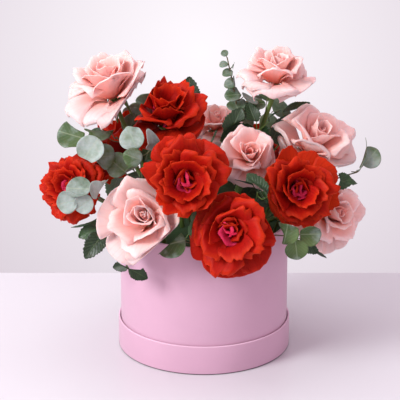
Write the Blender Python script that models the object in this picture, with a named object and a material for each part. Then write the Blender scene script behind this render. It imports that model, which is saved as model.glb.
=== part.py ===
"""A round hat box of roses and eucalyptus, standing in its upturned lid.

Metres, +Z up. The origin is the middle of the lid's underside, where the box stands, and -Y is the front.
Each bloom is a heart and a rule for its petals. Where two blooms meet, or a bloom meets the box, both are
pressed back from a plane between them, as blooms packed in a box are, so that nothing crosses.
"""

from dataclasses import dataclass, field
from math import pi, radians, tau

import bmesh
import bpy
import numpy as np

# The box, its lid and what it holds
BOX_RADIUS = 0.100
BOX_TOP = 0.160
BOARD = 0.0024
LID_RADIUS = 0.103
LID_HEIGHT = 0.036
LID_BOARD = 0.0020
FILM = 0.0008
FILM_TOP = 0.150
FOAM_TOP = 0.146
RIM_ROUND = 0.0008
TURN_STEPS = 36
SEAT_GAP = 0.0003

# Stems: radii, how deep they stand in the foam, and how far they rise straight out of it
ROSE_STEM = 0.0028
SPRAY_STEM = 0.0012
SPRAY_TAPER = 0.6
STEM_ROOM = 0.0005
STEM_DEPTH = 0.042
ROSE_RISE = 0.012
SPRAY_RISE = 0.010
NECK_RUN = 0.014
STEM_POINTS = 7
SPRAY_POINTS = 6
STEM_SIDES = 5
SPRAY_SIDES = 3
ROSE_HOLE_SIDES = 6
SPRAY_HOLE_SIDES = 4

# A bloom's sizes are given for one that is this far across from its middle to its edge
BLOOM_SIZE = 0.050

# The cup under the bloom, as height and radius, and how far a sepal's tip hangs from its brim
NECK = -0.0130
CALYX_LEVELS = [(-0.0090, 0.0052), (-0.0034, 0.0070)]
SEPAL_OUT = 0.0080
SEPAL_DOWN = 0.0180

# Petals. In each row: the value at the eye, then what the bud, flaring and reflexed stages add to it
PETAL_STAGES = {
    "length": (0.031, 0.010, 0.007, 0.006),
    "half": (0.010, 0.008, 0.007, 0.003),
    "wrap": (1.0, -0.2, -0.35, -0.25),
    "roll": (0.0, 0.02, 0.20, 0.22),
    "lean_root": (8, 16, 20, 22),
    "lean_mid": (-4, 12, 26, 0),
    "lean_tip": (-26, 32, 50, 0),
}
OPENED_LEANS = {"lean_mid": (0, 0, 14, 36), "lean_tip": (0, 0, 12, 66)}
LOOSE_LEANS = {"lean_root": 10, "lean_mid": 14, "lean_tip": 20}
SHOWN_PETALS = 6
PETAL_THICKNESS = 0.0011
PETAL_GRID = (3, 3)
PETAL_SLIM = 0.86
PETAL_START = 0.24

# The bud, as height and radius of each level
BUD_LEVELS = [(-0.0030, 0.0090), (0.0030, 0.0260), (0.0330, 0.0165), (0.0350, 0.0075)]
BUD_SIDES = 7
BUD_RIDGES = 2
BUD_RIDGE = 0.20
BUD_EYE = 0.0385
TURN_OF_SPIRAL = 137.5
INNER_AGE = 0.66

# The rounded hull that a bloom fills, as shares of its size, measured from its heart
FACE_TO_ROOT = 0.42
ROOT_TO_HEART = 0.25
HULL_ASIDE = 1.08
HULL_AHEAD = 0.72
HULL_BEHIND = 0.80
HULL_POWER = 2.6
HULL_EASE = 0.15

# Room that a bloom leaves at each plane it shares, where the thin stems pass, and where it starts to yield
ROOM = 0.0020
YIELDS = 0.62

# Leaves
LEAF_THICKNESS = 0.0008
LEAF_ROOM = 0.0010
LEAF_START = 0.0004
LEAF_BITE = 0.0010
LEAF_MIDDLE = 0.56
JOINT_STEPS = 61
JOINT_BACK = 0.3
NEAR_WALL = 0.088
SHAPES = {
    "eucalyptus": {"rib": False, "length": 1.12, "width": 1.0, "widths": (0.78, 1.0, 0.78),
                   "droop": 0.06, "fold": 0.06},
    "rose_leaf": {"rib": True, "length": 1.50, "width": 0.85, "widths": (0.86, 1.0, 0.66),
                  "droop": 0.14, "fold": 0.20},
}

COLOURS = {
    "pink_board": ((0.84, 0.43, 0.63), 0.62),
    "film": ((0.80, 0.84, 0.84), 0.25),
    "foam": ((0.05, 0.17, 0.07), 0.95),
    "red_petal": ((0.60, 0.012, 0.008), 0.50),
    "pink_petal": ((0.90, 0.56, 0.53), 0.50),
    "rose_green": ((0.10, 0.19, 0.05), 0.55),
    "rose_leaf": ((0.05, 0.14, 0.04), 0.45),
    "eucalyptus": ((0.22, 0.33, 0.25), 0.65),
}


def unit(v):
    return v / np.linalg.norm(v)


@dataclass
class Bloom:
    """One rose. middle is the centre of its open face, facing its axis and size its radius when spread.

    inner counts the petals of its closed heart. outer gives each later petal as its turn in degrees, its age up
    to 1 for fully reflexed, its length and its width.
    """

    name: str
    petal: str
    middle: tuple
    facing: tuple
    size: float
    opened: float
    ruffle: float
    loose: float
    seed: int
    foot: tuple
    inner: int
    outer: list
    walls: list = field(default_factory=list)

    def __post_init__(self):
        self.axis = unit(np.array(self.facing, float))
        self.root = np.array(self.middle, float) - FACE_TO_ROOT * self.size * self.axis
        self.heart = self.root + ROOT_TO_HEART * self.size * self.axis
        self.side = unit(np.cross((0.0, 0.0, 1.0), self.axis))
        self.up = np.cross(self.axis, self.side)


RED, PINK = "red_petal", "pink_petal"


def spiral(count, start, wide):
    """Outer petals in a plain spiral, for a bloom that shows nothing unusual."""
    return [(start + 137.5 * i, 0.80 + 0.20 * i / (count - 1), 0.95, wide) for i in range(count)]


BLOOMS = [
    Bloom("rose_red_left", RED, (-0.159, -0.040, 0.214), (-0.58, -0.68, 0.45), 0.043, 1.00, 0.16, 0.9, 11,
          (-0.080, -0.012), 26,
          [(203, 1.0, 1.0, 0.8), (37, 0.85, 0.95, 0.8), (233, 1.0, 0.95, 0.8), (148, 0.92, 1.0, 0.8),
           (279, 0.95, 0.85, 0.9), (180, 0.97, 1.05, 0.8), (325, 0.9, 0.9, 0.8), (112, 0.88, 0.92, 0.8)]),
    Bloom("rose_red_upper", RED, (-0.045, -0.014, 0.302), (0.03, -0.28, 0.96), 0.057, 1.10, 0.12, 0.3, 23,
          (-0.026, 0.004), 22,
          [(80, 0.82, 0.78, 1.0), (130, 0.85, 0.90, 1.0), (25, 0.92, 1.08, 0.85), (172, 0.93, 1.02, 0.9),
           (310, 0.97, 0.82, 1.0), (345, 1.0, 1.05, 0.85), (268, 0.98, 0.74, 1.2), (208, 1.0, 1.06, 0.95)]),
    Bloom("rose_red_front", RED, (-0.021, -0.104, 0.245), (0.02, -0.93, 0.37), 0.054, 0.95, 0.13, 0.6, 34,
          (-0.014, -0.036), 22,
          [(83, 0.85, 0.90, 1.0), (122, 0.90, 0.96, 0.9), (31, 0.93, 1.0, 1.0), (207, 0.93, 0.86, 1.0),
           (295, 0.95, 0.72, 1.1), (173, 0.97, 0.92, 0.9), (245, 0.98, 0.78, 1.1), (353, 1.0, 1.03, 0.9)]),
    Bloom("rose_red_low", RED, (0.029, -0.124, 0.191), (-0.10, -0.95, 0.30), 0.056, 0.95, 0.16, 1.0, 45,
          (0.024, -0.076), 18,
          [(30, 0.82, 0.86, 0.9), (100, 0.84, 0.82, 1.1), (352, 0.92, 1.03, 0.9), (145, 0.90, 0.98, 1.1),
           (188, 0.95, 1.04, 1.1), (313, 0.95, 0.96, 1.0), (240, 1.0, 1.03, 1.25), (284, 1.0, 0.97, 1.15)]),
    Bloom("rose_red_right", RED, (0.110, -0.078, 0.224), (0.22, -0.90, 0.38), 0.051, 1.00, 0.16, 1.0, 56,
          (0.062, -0.034), 24,
          [(64, 0.85, 1.0, 0.8), (26, 0.85, 1.03, 0.8), (101, 0.90, 0.97, 0.8), (343, 0.9, 1.02, 0.8),
           (175, 0.93, 0.86, 1.1), (300, 1.0, 0.96, 0.9), (132, 0.95, 0.90, 0.9), (222, 1.0, 0.80, 1.2)]),
    Bloom("rose_pink_tall_left", PINK, (-0.112, 0.006, 0.331), (-0.24, -0.14, 0.96), 0.060, 1.15, 0.07, 0.5,
          61, (-0.046, 0.022), 18,
          [(112, 0.82, 0.80, 1.1), (190, 0.86, 1.08, 1.1), (64, 0.90, 0.82, 1.0), (238, 0.93, 0.92, 1.1),
           (14, 0.95, 1.02, 1.1), (288, 1.0, 0.80, 1.1), (336, 0.98, 0.98, 1.0)]),
    Bloom("rose_pink_tall_right", PINK, (0.086, 0.008, 0.344), (0.10, -0.06, 0.99), 0.047, 0.95, 0.05, 0.0,
          72, (0.030, 0.032), 14,
          [(60, 0.74, 0.84, 1.2), (350, 0.80, 0.90, 1.1), (121, 0.88, 0.90, 1.1), (262, 0.90, 0.88, 1.2),
           (301, 0.98, 1.02, 1.0), (166, 1.0, 0.98, 1.0), (214, 0.98, 1.0, 1.3)]),
    Bloom("rose_pink_right", PINK, (0.133, -0.006, 0.264), (0.40, -0.34, 0.85), 0.058, 1.10, 0.06, 0.2, 83,
          (0.060, 0.012), 14,
          [(60, 0.74, 0.98, 1.2), (10, 0.82, 1.05, 1.1), (140, 0.85, 1.08, 1.3), (328, 0.93, 1.08, 1.1),
           (178, 0.95, 1.08, 1.1), (228, 0.98, 0.95, 1.2), (285, 1.0, 1.05, 1.1)]),
    Bloom("rose_pink_middle", PINK, (0.054, -0.046, 0.256), (0.06, -0.74, 0.67), 0.044, 0.90, 0.09, 0.7, 94,
          (0.028, -0.014), 10,
          [(98, 0.72, 0.85, 1.1), (50, 0.78, 0.80, 1.1), (140, 0.85, 1.0, 1.1), (10, 0.85, 0.90, 1.2),
           (200, 0.90, 0.80, 1.2), (320, 0.95, 0.85, 1.2), (262, 1.0, 0.85, 1.3)]),
    Bloom("rose_pink_inner", PINK, (0.014, 0.034, 0.271), (0.10, -0.30, 0.95), 0.036, 0.90, 0.07, 0.4, 15,
          (0.004, 0.028), 12, spiral(6, 40, 1.1)),
    Bloom("rose_pink_front", PINK, (-0.068, -0.112, 0.203), (-0.18, -0.80, 0.58), 0.058, 1.05, 0.06, 0.1, 26,
          (-0.048, -0.062), 16,
          [(119, 0.80, 0.88, 1.1), (47, 0.84, 0.85, 1.1), (172, 0.82, 1.12, 1.35), (2, 0.93, 1.12, 1.2),
           (215, 0.98, 1.02, 0.9), (318, 0.96, 0.86, 1.4), (262, 1.0, 0.84, 1.2)]),
    Bloom("rose_pink_low_right", PINK, (0.154, -0.046, 0.183), (0.68, -0.66, 0.30), 0.050, 0.95, 0.09, 0.7,
          37, (0.078, -0.008), 14,
          [(126, 0.80, 1.0, 1.0), (50, 0.84, 0.90, 1.1), (358, 0.90, 1.03, 1.0), (331, 0.95, 1.0, 1.0),
           (300, 0.98, 0.96, 1.1), (208, 1.0, 0.92, 1.1), (250, 1.0, 0.9, 1.1)]),
    Bloom("rose_red_back_left", RED, (-0.106, 0.076, 0.230), (-0.56, 0.66, 0.50), 0.050, 1.00, 0.14, 0.7, 48,
          (-0.058, 0.048), 22, spiral(7, 0, 1.0)),
    Bloom("rose_pink_back", PINK, (-0.024, 0.118, 0.206), (-0.12, 0.86, 0.50), 0.052, 1.00, 0.07, 0.4, 59,
          (-0.016, 0.074), 16, spiral(7, 20, 1.15)),
    Bloom("rose_red_back", RED, (0.068, 0.106, 0.208), (0.34, 0.82, 0.46), 0.050, 0.95, 0.15, 0.9, 60,
          (0.042, 0.066), 22, spiral(7, 50, 1.0)),
    Bloom("rose_pink_back_right", PINK, (0.126, 0.050, 0.196), (0.80, 0.50, 0.36), 0.045, 1.00, 0.07, 0.4, 71,
          (0.076, 0.034), 16, spiral(7, 80, 1.1)),
]


@dataclass
class Spray:
    """A leafy stem from its foot in the foam through via to its tip, with its leaves.

    Each leaf has its middle, its size and the way that its upper face looks. The last one grows at the tip.
    """

    name: str
    leaf: str
    foot: tuple
    via: list
    leaves: list


ROUND, DARK = "eucalyptus", "rose_leaf"
SPRAYS = [
    Spray("eucalyptus_left", ROUND, (-0.042, -0.012),
          [(-0.080, -0.012, 0.205), (-0.104, -0.022, 0.243), (-0.130, -0.026, 0.266)],
          [((-0.102, -0.034, 0.238), 0.031, (0.2, -1, 0.2)),
           ((-0.117, -0.038, 0.250), 0.030, (0.5, -1, 0.2)),
           ((-0.132, -0.046, 0.262), 0.034, (-0.2, -1, 0.5)),
           ((-0.156, -0.012, 0.268), 0.036, (-0.2, -0.9, 0.6))]),
    Spray("eucalyptus_left_tall", ROUND, (-0.034, 0.022),
          [(-0.072, 0.036, 0.215), (-0.104, 0.020, 0.254)],
          [((-0.086, 0.026, 0.268), 0.028, (0.3, -1, 0.3)),
           ((-0.128, 0.028, 0.248), 0.030, (-0.8, -0.2, 0.8)),
           ((-0.121, -0.002, 0.274), 0.033, (0, -1, 0.4))]),
    Spray("eucalyptus_middle", ROUND, (-0.056, -0.036),
          [(-0.072, -0.050, 0.215), (-0.080, -0.062, 0.245), (-0.074, -0.060, 0.266)],
          [((-0.082, -0.070, 0.240), 0.018, (-0.3, -1, 0.1)),
           ((-0.082, -0.066, 0.259), 0.024, (0, -1, 0)),
           ((-0.060, -0.064, 0.278), 0.030, (1, -0.45, 0.2)),
           ((-0.083, -0.062, 0.281), 0.030, (-0.3, -1, 0.3))]),
    Spray("eucalyptus_low_left", ROUND, (-0.072, -0.046),
          [(-0.098, -0.062, 0.196), (-0.112, -0.088, 0.222), (-0.128, -0.100, 0.224)],
          [((-0.113, -0.094, 0.230), 0.021, (0.3, -1, 0.2)),
           ((-0.124, -0.102, 0.232), 0.022, (0.9, -0.8, 0.2)),
           ((-0.144, -0.094, 0.231), 0.031, (-0.1, -0.6, 1)),
           ((-0.138, -0.104, 0.216), 0.024, (0.1, -1, 0.3)),
           ((-0.157, -0.102, 0.217), 0.026, (-0.1, -1, 0.3))]),
    Spray("eucalyptus_tall", ROUND, (0.016, 0.008),
          [(0.046, 0.018, 0.262), (0.051, 0.016, 0.290), (0.046, 0.016, 0.315), (0.034, 0.016, 0.340),
           (0.027, 0.016, 0.354)],
          [((0.038, 0.010, 0.297), 0.023, (-0.1, -0.6, 1)),
           ((0.063, 0.013, 0.298), 0.020, (0.1, -0.6, 1)),
           ((0.034, 0.010, 0.310), 0.021, (-0.1, -0.7, 1)),
           ((0.057, 0.010, 0.308), 0.021, (0.1, -0.6, 1)),
           ((0.032, 0.012, 0.323), 0.018, (-0.1, -0.5, 1)), ((0.028, 0.012, 0.336), 0.014, (0, -0.5, 1)),
           ((0.048, 0.012, 0.327), 0.015, (0.1, -0.5, 1)), ((0.023, 0.014, 0.346), 0.011, (0, -0.5, 1)),
           ((0.038, 0.014, 0.343), 0.011, (0, -0.5, 1)), ((0.024, 0.016, 0.359), 0.009, (0, -0.8, 0.6))]),
    Spray("eucalyptus_right", ROUND, (0.086, 0.006),
          [(0.136, 0.010, 0.205), (0.160, 0.0, 0.224), (0.178, -0.006, 0.230)],
          [((0.174, -0.008, 0.238), 0.025, (0.8, -0.7, 0.3)),
           ((0.184, 0.004, 0.252), 0.012, (0, -1, 0.4)), ((0.196, -0.008, 0.238), 0.027, (0.1, -1, 0.3))]),
    Spray("eucalyptus_low_right", ROUND, (0.060, -0.064),
          [(0.078, -0.086, 0.174), (0.092, -0.104, 0.184), (0.104, -0.108, 0.182)],
          [((0.094, -0.114, 0.184), 0.030, (-0.1, -1, 0.2)),
           ((0.122, -0.108, 0.180), 0.028, (0.3, -0.9, 0.4)),
           ((0.106, -0.116, 0.164), 0.027, (0.1, -1, 0))]),
    Spray("eucalyptus_front", ROUND, (-0.012, -0.080),
          [(-0.012, -0.102, 0.170), (-0.018, -0.113, 0.178), (-0.024, -0.114, 0.174)],
          [((-0.038, -0.117, 0.172), 0.037, (0, -0.8, 0.6))]),
    Spray("eucalyptus_back_left", ROUND, (-0.040, 0.050),
          [(-0.062, 0.084, 0.220), (-0.068, 0.098, 0.252)],
          [((-0.084, 0.094, 0.240), 0.033, (-0.4, 0.9, 0.3)),
           ((-0.046, 0.100, 0.246), 0.033, (0.3, 0.9, 0.3)),
           ((-0.086, 0.100, 0.256), 0.030, (-0.4, 0.9, 0.3)),
           ((-0.052, 0.106, 0.258), 0.030, (0.3, 0.9, 0.4)), ((-0.070, 0.108, 0.270), 0.027, (0, 1, 0.4))]),
    Spray("eucalyptus_back_right", ROUND, (0.040, 0.038),
          [(0.060, 0.054, 0.230), (0.074, 0.066, 0.270)],
          [((0.046, 0.064, 0.252), 0.033, (-0.3, 0.8, 0.3)),
           ((0.080, 0.062, 0.254), 0.033, (0.4, 0.8, 0.3)),
           ((0.058, 0.072, 0.276), 0.029, (-0.3, 0.8, 0.3)),
           ((0.092, 0.064, 0.274), 0.029, (0.5, 0.8, 0.3)), ((0.078, 0.072, 0.292), 0.026, (0, 1, 0.4))]),
    Spray("rose_leaf_upper", DARK, (-0.010, 0.022),
          [(-0.008, 0.048, 0.250), (-0.014, 0.050, 0.276)],
          [((-0.036, 0.052, 0.292), 0.024, (-0.2, -0.9, 0.4)),
           ((-0.018, 0.050, 0.300), 0.030, (0.1, -0.9, 0.4))]),
    Spray("rose_leaf_middle", DARK, (0.010, -0.010),
          [(0.018, -0.008, 0.225), (0.032, -0.006, 0.256)],
          [((0.010, -0.030, 0.268), 0.025, (-0.2, -1, 0.2)),
           ((0.046, -0.014, 0.262), 0.024, (0.3, -1, 0.3)),
           ((0.036, -0.006, 0.281), 0.029, (-0.2, -1, 0.3))]),
    Spray("rose_leaf_tall_right", DARK, (0.050, 0.010),
          [(0.060, 0.010, 0.232), (0.062, 0.004, 0.272)],
          [((0.082, -0.010, 0.262), 0.028, (0.1, -1, 0.3)),
           ((0.086, -0.002, 0.286), 0.015, (0, -1, 0.5)), ((0.056, 0.0, 0.291), 0.021, (0, -1, 0.5))]),
    Spray("rose_leaf_behind_right", DARK, (0.070, 0.024),
          [(0.098, 0.046, 0.224), (0.110, 0.042, 0.256)],
          [((0.100, 0.030, 0.256), 0.026, (-0.2, -1, 0.4)),
           ((0.124, 0.046, 0.254), 0.026, (0.6, 0.5, 0.4)), ((0.116, 0.036, 0.276), 0.020, (0, -1, 0.6))]),
    Spray("rose_leaf_right", DARK, (0.080, -0.028),
          [(0.126, -0.034, 0.200), (0.150, -0.040, 0.210)],
          [((0.164, -0.046, 0.221), 0.023, (0.3, -1, 0.3))]),
    Spray("rose_leaf_left", DARK, (-0.078, -0.030),
          [(-0.096, -0.046, 0.176), (-0.112, -0.058, 0.176)],
          [((-0.128, -0.074, 0.154), 0.028, (0, -0.7, 0.7)),
           ((-0.132, -0.060, 0.166), 0.025, (0, -0.8, 0.6)),
           ((-0.140, -0.056, 0.180), 0.024, (0, -0.5, 0.9))]),
    Spray("rose_leaf_under_front", DARK, (-0.066, -0.052),
          [(-0.074, -0.066, 0.180), (-0.082, -0.092, 0.166), (-0.086, -0.106, 0.148)],
          [((-0.096, -0.106, 0.140), 0.016, (-0.2, -1, 0.4)),
           ((-0.076, -0.110, 0.132), 0.019, (0.1, -1, 0.4))]),
    Spray("rose_leaf_front", DARK, (0.004, -0.082),
          [(0.0, -0.102, 0.170), (-0.002, -0.110, 0.180)],
          [((-0.006, -0.114, 0.192), 0.022, (0, -1, 0.4))]),
    Spray("rose_leaf_low_right", DARK, (0.084, -0.022),
          [(0.106, -0.044, 0.172), (0.118, -0.058, 0.168)],
          [((0.124, -0.084, 0.156), 0.022, (0.2, -1, 0.3)),
           ((0.136, -0.074, 0.150), 0.017, (0.4, -1, 0.3))]),
    Spray("rose_leaf_between", DARK, (0.038, -0.050),
          [(0.050, -0.072, 0.196), (0.056, -0.092, 0.214)],
          [((0.046, -0.094, 0.226), 0.018, (0.2, -1, 0.3)),
           ((0.068, -0.100, 0.222), 0.018, (-0.2, -1, 0.3)),
           ((0.060, -0.108, 0.240), 0.026, (0.2, -1, 0.5))]),
    Spray("rose_leaf_back_left", DARK, (-0.066, 0.060),
          [(-0.080, 0.080, 0.174), (-0.094, 0.096, 0.172)],
          [((-0.100, 0.082, 0.172), 0.032, (-0.5, 0.6, 0.6)),
           ((-0.078, 0.106, 0.168), 0.032, (-0.2, 0.9, 0.4)),
           ((-0.110, 0.112, 0.164), 0.034, (-0.5, 0.7, 0.4))]),
    Spray("rose_leaf_back", DARK, (0.014, 0.080),
          [(0.020, 0.098, 0.176), (0.024, 0.120, 0.172)],
          [((0.002, 0.114, 0.172), 0.032, (-0.3, 0.9, 0.4)),
           ((0.046, 0.112, 0.170), 0.032, (0.3, 0.9, 0.4)),
           ((0.028, 0.142, 0.162), 0.034, (0.1, 0.8, 0.5))]),
]

# The first of each pair lies over the second, seen from the front
LIES_OVER = {
    ("rose_red_front", "rose_pink_front"),
    ("rose_red_front", "rose_red_low"),
    ("rose_pink_front", "rose_red_low"),
    ("rose_red_front", "rose_red_upper"),
    ("rose_red_right", "rose_pink_low_right"),
    ("rose_red_right", "rose_pink_right"),
    ("rose_red_front", "rose_pink_middle"),
    ("rose_red_right", "rose_pink_middle"),
}
OVER_TILT = 0.80

# Where a leaf beside it holds a bloom's petals back: the way to the leaf and the distance from the heart
HELD_BACK = {"rose_pink_front": ((0.68, -0.25, -0.69), 0.038)}


def smooth(low, high, x):
    """0 below low, 1 above high and an even S between them."""
    q = np.clip((x - low) / (high - low), 0.0, 1.0)
    return q * q * (3 - 2 * q)


def mix(a, b, share):
    return a + (b - a) * share


def petal_settings(bloom):
    """One dict for each petal, inmost first: bud petals stand and wrap, later ones flare, the last reflex."""
    draw = np.random.default_rng(bloom.seed)
    scale = bloom.size / BLOOM_SIZE
    rows = [(TURN_OF_SPIRAL * i, INNER_AGE * i / (bloom.inner - 1), 1.0, 1.0) for i in range(bloom.inner)]
    petals = []
    for turn, age, long, wide in rows + bloom.outer:
        u = draw.uniform(-1, 1, 12)
        stages = np.array((1.0, smooth(0.0, 0.38, age), smooth(0.25, 0.75, age), smooth(0.6, 1.0, age)))
        _, _, flare, reflex = stages
        value = {key: np.dot(row, stages) for key, row in PETAL_STAGES.items()}
        for key, row in OPENED_LEANS.items():
            value[key] += bloom.opened * np.dot(row, stages)
        for key, lean in LOOSE_LEANS.items():
            value[key] += lean * bloom.loose * (1 - reflex) * (1 + 0.8 * u[10])
        petals.append({
            "azimuth": radians(turn) + 0.16 * u[0],
            "length": scale * long * value["length"] * (1 + 0.06 * u[1]),
            "half": scale * wide * value["half"] * (1 + 0.08 * u[2]),
            "root_radius": scale * mix(0.0010, 0.0075, age),
            "root_height": scale * mix(0.0030, -0.0015, age),
            "lean_root": radians(value["lean_root"] + 5 * u[3]),
            "lean_mid": radians(value["lean_mid"] + 8 * u[4]),
            "lean_tip": radians(value["lean_tip"] + 14 * u[5]),
            "wrap": value["wrap"] + 0.15 * u[11],
            "roll": value["roll"] + 0.05 * u[6],
            "tuck": 0.16 * (1 - 0.5 * reflex) + 0.05 * u[7],
            "ruffle": bloom.ruffle * (0.3 + 0.8 * flare + 0.3 * u[8]),
            "folds": 1.1 + 0.35 * u[9],
            "shoulder": mix(0.20, 0.40, flare),
            "point": mix(0.0, 0.14, flare),
            "phase": 3.1 * u[0] + 2.2 * u[5],
        })
    return petals


def petal_sheet(p, across, along):
    """The middle surface of one petal in the bloom's own axes, as rows from root to edge.

    A spine leans out more and more on its way up. Across it the sheet wraps round the bloom's axis, one edge
    is tucked under the next petal, the margin rolls back, and a wave grows towards the edge.
    """
    t = np.linspace(-1, 1, across)[None, :]
    v = np.linspace(PETAL_START, 1, along)[:, None]
    edge = 1 - p["shoulder"] * np.abs(t) ** 2.4 + p["point"] * np.exp(-(t / 0.24) ** 2)
    s = v * edge
    half = p["half"] * (0.2 + 0.8 * np.sin(np.clip(s / 0.66, 0, 1) * pi / 2) ** 1.1)
    half = half * (1 - 0.12 * smooth(0.7, 1.0, s))
    steps = np.linspace(0, 1.1, 80)
    lean = p["lean_root"] + (p["lean_mid"] - p["lean_root"]) * smooth(0.0, 0.55, steps)
    lean = lean + (p["lean_tip"] - p["lean_mid"]) * smooth(0.5, 1.05, steps) ** 1.2
    step = steps[1] * p["length"]
    radius = p["root_radius"] + np.concatenate([[0], np.cumsum(np.sin(lean[:-1]))]) * step
    height = p["root_height"] + np.concatenate([[0], np.cumsum(np.cos(lean[:-1]))]) * step
    r, z, a = (np.interp(s, steps, q) for q in (radius, height, lean))
    bend = p["wrap"] / np.maximum(r, 0.004)
    sweep = half * t * bend
    sideways = np.sin(sweep) / bend
    lift = (1 - np.cos(sweep)) / bend
    out = np.abs(t)
    lift = lift - p["roll"] * p["half"] * smooth(0.35, 1.0, out) ** 1.3 * smooth(0.25, 0.9, s)
    lift = lift + p["tuck"] * half * t
    wave = 0.7 * np.sin(tau * p["folds"] * t + p["phase"] + 2.0 * v)
    wave = wave + 0.4 * np.sin(1.7 * tau * p["folds"] * t - 1.3 * p["phase"] + 3.0 * v)
    lift = lift + p["ruffle"] * p["half"] * wave * s ** 2 * (0.35 + 0.65 * out)
    along_r = r - lift * np.cos(a)
    up = z + lift * np.sin(a)
    c, n = np.cos(p["azimuth"]), np.sin(p["azimuth"])
    return np.stack([along_r * c - sideways * n, along_r * n + sideways * c, up], -1)


def placed(bloom, local):
    """Points in the bloom's own axes, put where the bloom is."""
    axes = np.stack([bloom.side, bloom.up, bloom.axis])
    return bloom.root + local @ axes


def hull_reach(bloom, directions):
    """How far the bloom reaches from its heart, petals and calyx included, if nothing presses on it."""
    ahead = directions @ bloom.axis
    aside = np.sqrt(np.clip(1 - ahead ** 2, 0, 1))
    depth = np.where(ahead > 0, HULL_AHEAD, HULL_BEHIND) * bloom.size
    share = (aside / (HULL_ASIDE * bloom.size)) ** HULL_POWER + (np.abs(ahead) / depth) ** HULL_POWER
    return share ** (-1 / HULL_POWER)


def reach(bloom, directions):
    """hull_reach, cut short by the planes that the bloom shares."""
    limit = hull_reach(bloom, directions)
    for normal, distance in bloom.walls:
        towards = directions @ normal
        limit = np.where(towards > 1e-6, np.minimum(limit, distance / np.maximum(towards, 1e-6)), limit)
    return limit


def find_walls(blooms):
    """Each bloom's planes: one for every neighbour that it would touch, and one for the rim of the box."""
    for a in blooms:
        for b in blooms:
            between = b.heart - a.heart
            gap = np.linalg.norm(between)
            if a is b or gap == 0:
                continue
            towards = between / gap
            mine = hull_reach(a, towards[None])[0]
            theirs = hull_reach(b, -towards[None])[0]
            if gap > mine + theirs + 2 * ROOM:
                continue
            over = ((a.name, b.name) in LIES_OVER) - ((b.name, a.name) in LIES_OVER)
            normal = unit(towards - over * OVER_TILT * unit(a.axis + b.axis))
            depth = gap * (normal @ towards)
            a.walls.append((normal, depth * mine / (mine + theirs) - ROOM))
        flat = np.array((a.heart[0], a.heart[1], 0.0))
        out = np.linalg.norm(flat)
        if out > BOX_RADIUS:
            tip = 0.5 * np.arctan2(a.heart[2] - BOX_TOP, out - BOX_RADIUS)
            normal = -np.cos(tip) * flat / out - np.sin(tip) * np.array((0.0, 0.0, 1.0))
            rim = flat / out * BOX_RADIUS + np.array((0.0, 0.0, BOX_TOP))
        else:
            normal = np.array((0.0, 0.0, -1.0))
            rim = np.array((0.0, 0.0, BOX_TOP))
        a.walls.append((normal, normal @ (rim - a.heart) - ROOM))
        if a.name in HELD_BACK:
            way, distance = HELD_BACK[a.name]
            a.walls.append((unit(np.array(way)), distance))


def pressed(bloom, points):
    """The bloom's points, pressed back behind its planes and inside its hull without folding over."""
    shape = points.shape
    p = points.reshape(-1, 3).copy()
    for _ in range(3):
        for normal, distance in bloom.walls:
            depth = (p - bloom.heart) @ normal
            soft = YIELDS * distance
            give = distance - soft
            held = distance - give * np.exp(-np.maximum(depth - soft, 0) / give)
            p = p + (np.where(depth > soft, held, depth) - depth)[:, None] * normal
    away = p - bloom.heart
    far = np.maximum(np.linalg.norm(away, axis=1), 1e-9)
    direction = away / far[:, None]
    hull = hull_reach(bloom, direction)
    past = far / hull - (1 - HULL_EASE)
    eased = np.where(past > 0, hull * (1 - HULL_EASE * np.exp(-past / HULL_EASE)), far)
    p = bloom.heart + direction * np.minimum(eased, reach(bloom, direction))[:, None]
    return p.reshape(shape)


def clear_of_blooms(points, blooms, room):
    """Points moved straight out of every bloom they lie in."""
    p = points.reshape(-1, 3).copy()
    for _ in range(6):
        for bloom in blooms:
            away = p - bloom.heart
            far = np.maximum(np.linalg.norm(away, axis=1), 1e-9)
            direction = away / far[:, None]
            least = reach(bloom, direction) + room
            p = np.where((far < least)[:, None], bloom.heart + direction * least[:, None], p)
    return p.reshape(points.shape)


def clear_of_box(points, room):
    """Points near the wall moved up over the rim or out past the wall, whichever is nearer."""
    p = points.reshape(-1, 3).copy()
    out = np.hypot(p[:, 0], p[:, 1])
    rise = BOX_TOP + room - p[:, 2]
    past = BOX_RADIUS + room - out
    near = (out > NEAR_WALL) & (rise > 0) & (past > 0)
    lift = near & (rise <= past)
    push = near & (rise > past)
    p[lift, 2] += rise[lift]
    p[push, :2] *= ((out[push] + past[push]) / out[push])[:, None]
    return p.reshape(points.shape)


def cleared(points, blooms, room):
    """Points moved out of the blooms and off the box."""
    p = points
    for _ in range(3):
        p = clear_of_box(clear_of_blooms(p, blooms, room), room)
    return p


def smooth_curve(knots, count):
    """count points evenly along a smooth curve through the knots."""
    k = np.array(knots, float)
    ends = np.concatenate([[2 * k[0] - k[1]], k, [2 * k[-1] - k[-2]]])
    run = []
    for a, b, c, d in zip(ends, ends[1:], ends[2:], ends[3:]):
        q = np.linspace(0, 1, 24, endpoint=False)[:, None]
        run.append(0.5 * (2 * b + (c - a) * q + (2 * a - 5 * b + 4 * c - d) * q ** 2
                          + (3 * b - a - 3 * c + d) * q ** 3))
    run = np.concatenate(run + [k[-1:]])
    along = np.concatenate([[0], np.cumsum(np.linalg.norm(np.diff(run, axis=0), axis=1))])
    even = np.linspace(0, along[-1], count)
    return np.stack([np.interp(even, along, run[:, i]) for i in range(3)], -1)


def threaded(path, blooms, room, held):
    """A stem's path, eased out of the blooms on its way. The first held points stay where they are."""
    p = path.copy()
    for _ in range(5):
        p[held:] = cleared(p[held:], blooms, room)
        p[held:-1] = 0.5 * p[held:-1] + 0.25 * (p[held - 1:-2] + p[held + 1:])
    p[held:] = cleared(p[held:], blooms, room)
    return p


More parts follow.
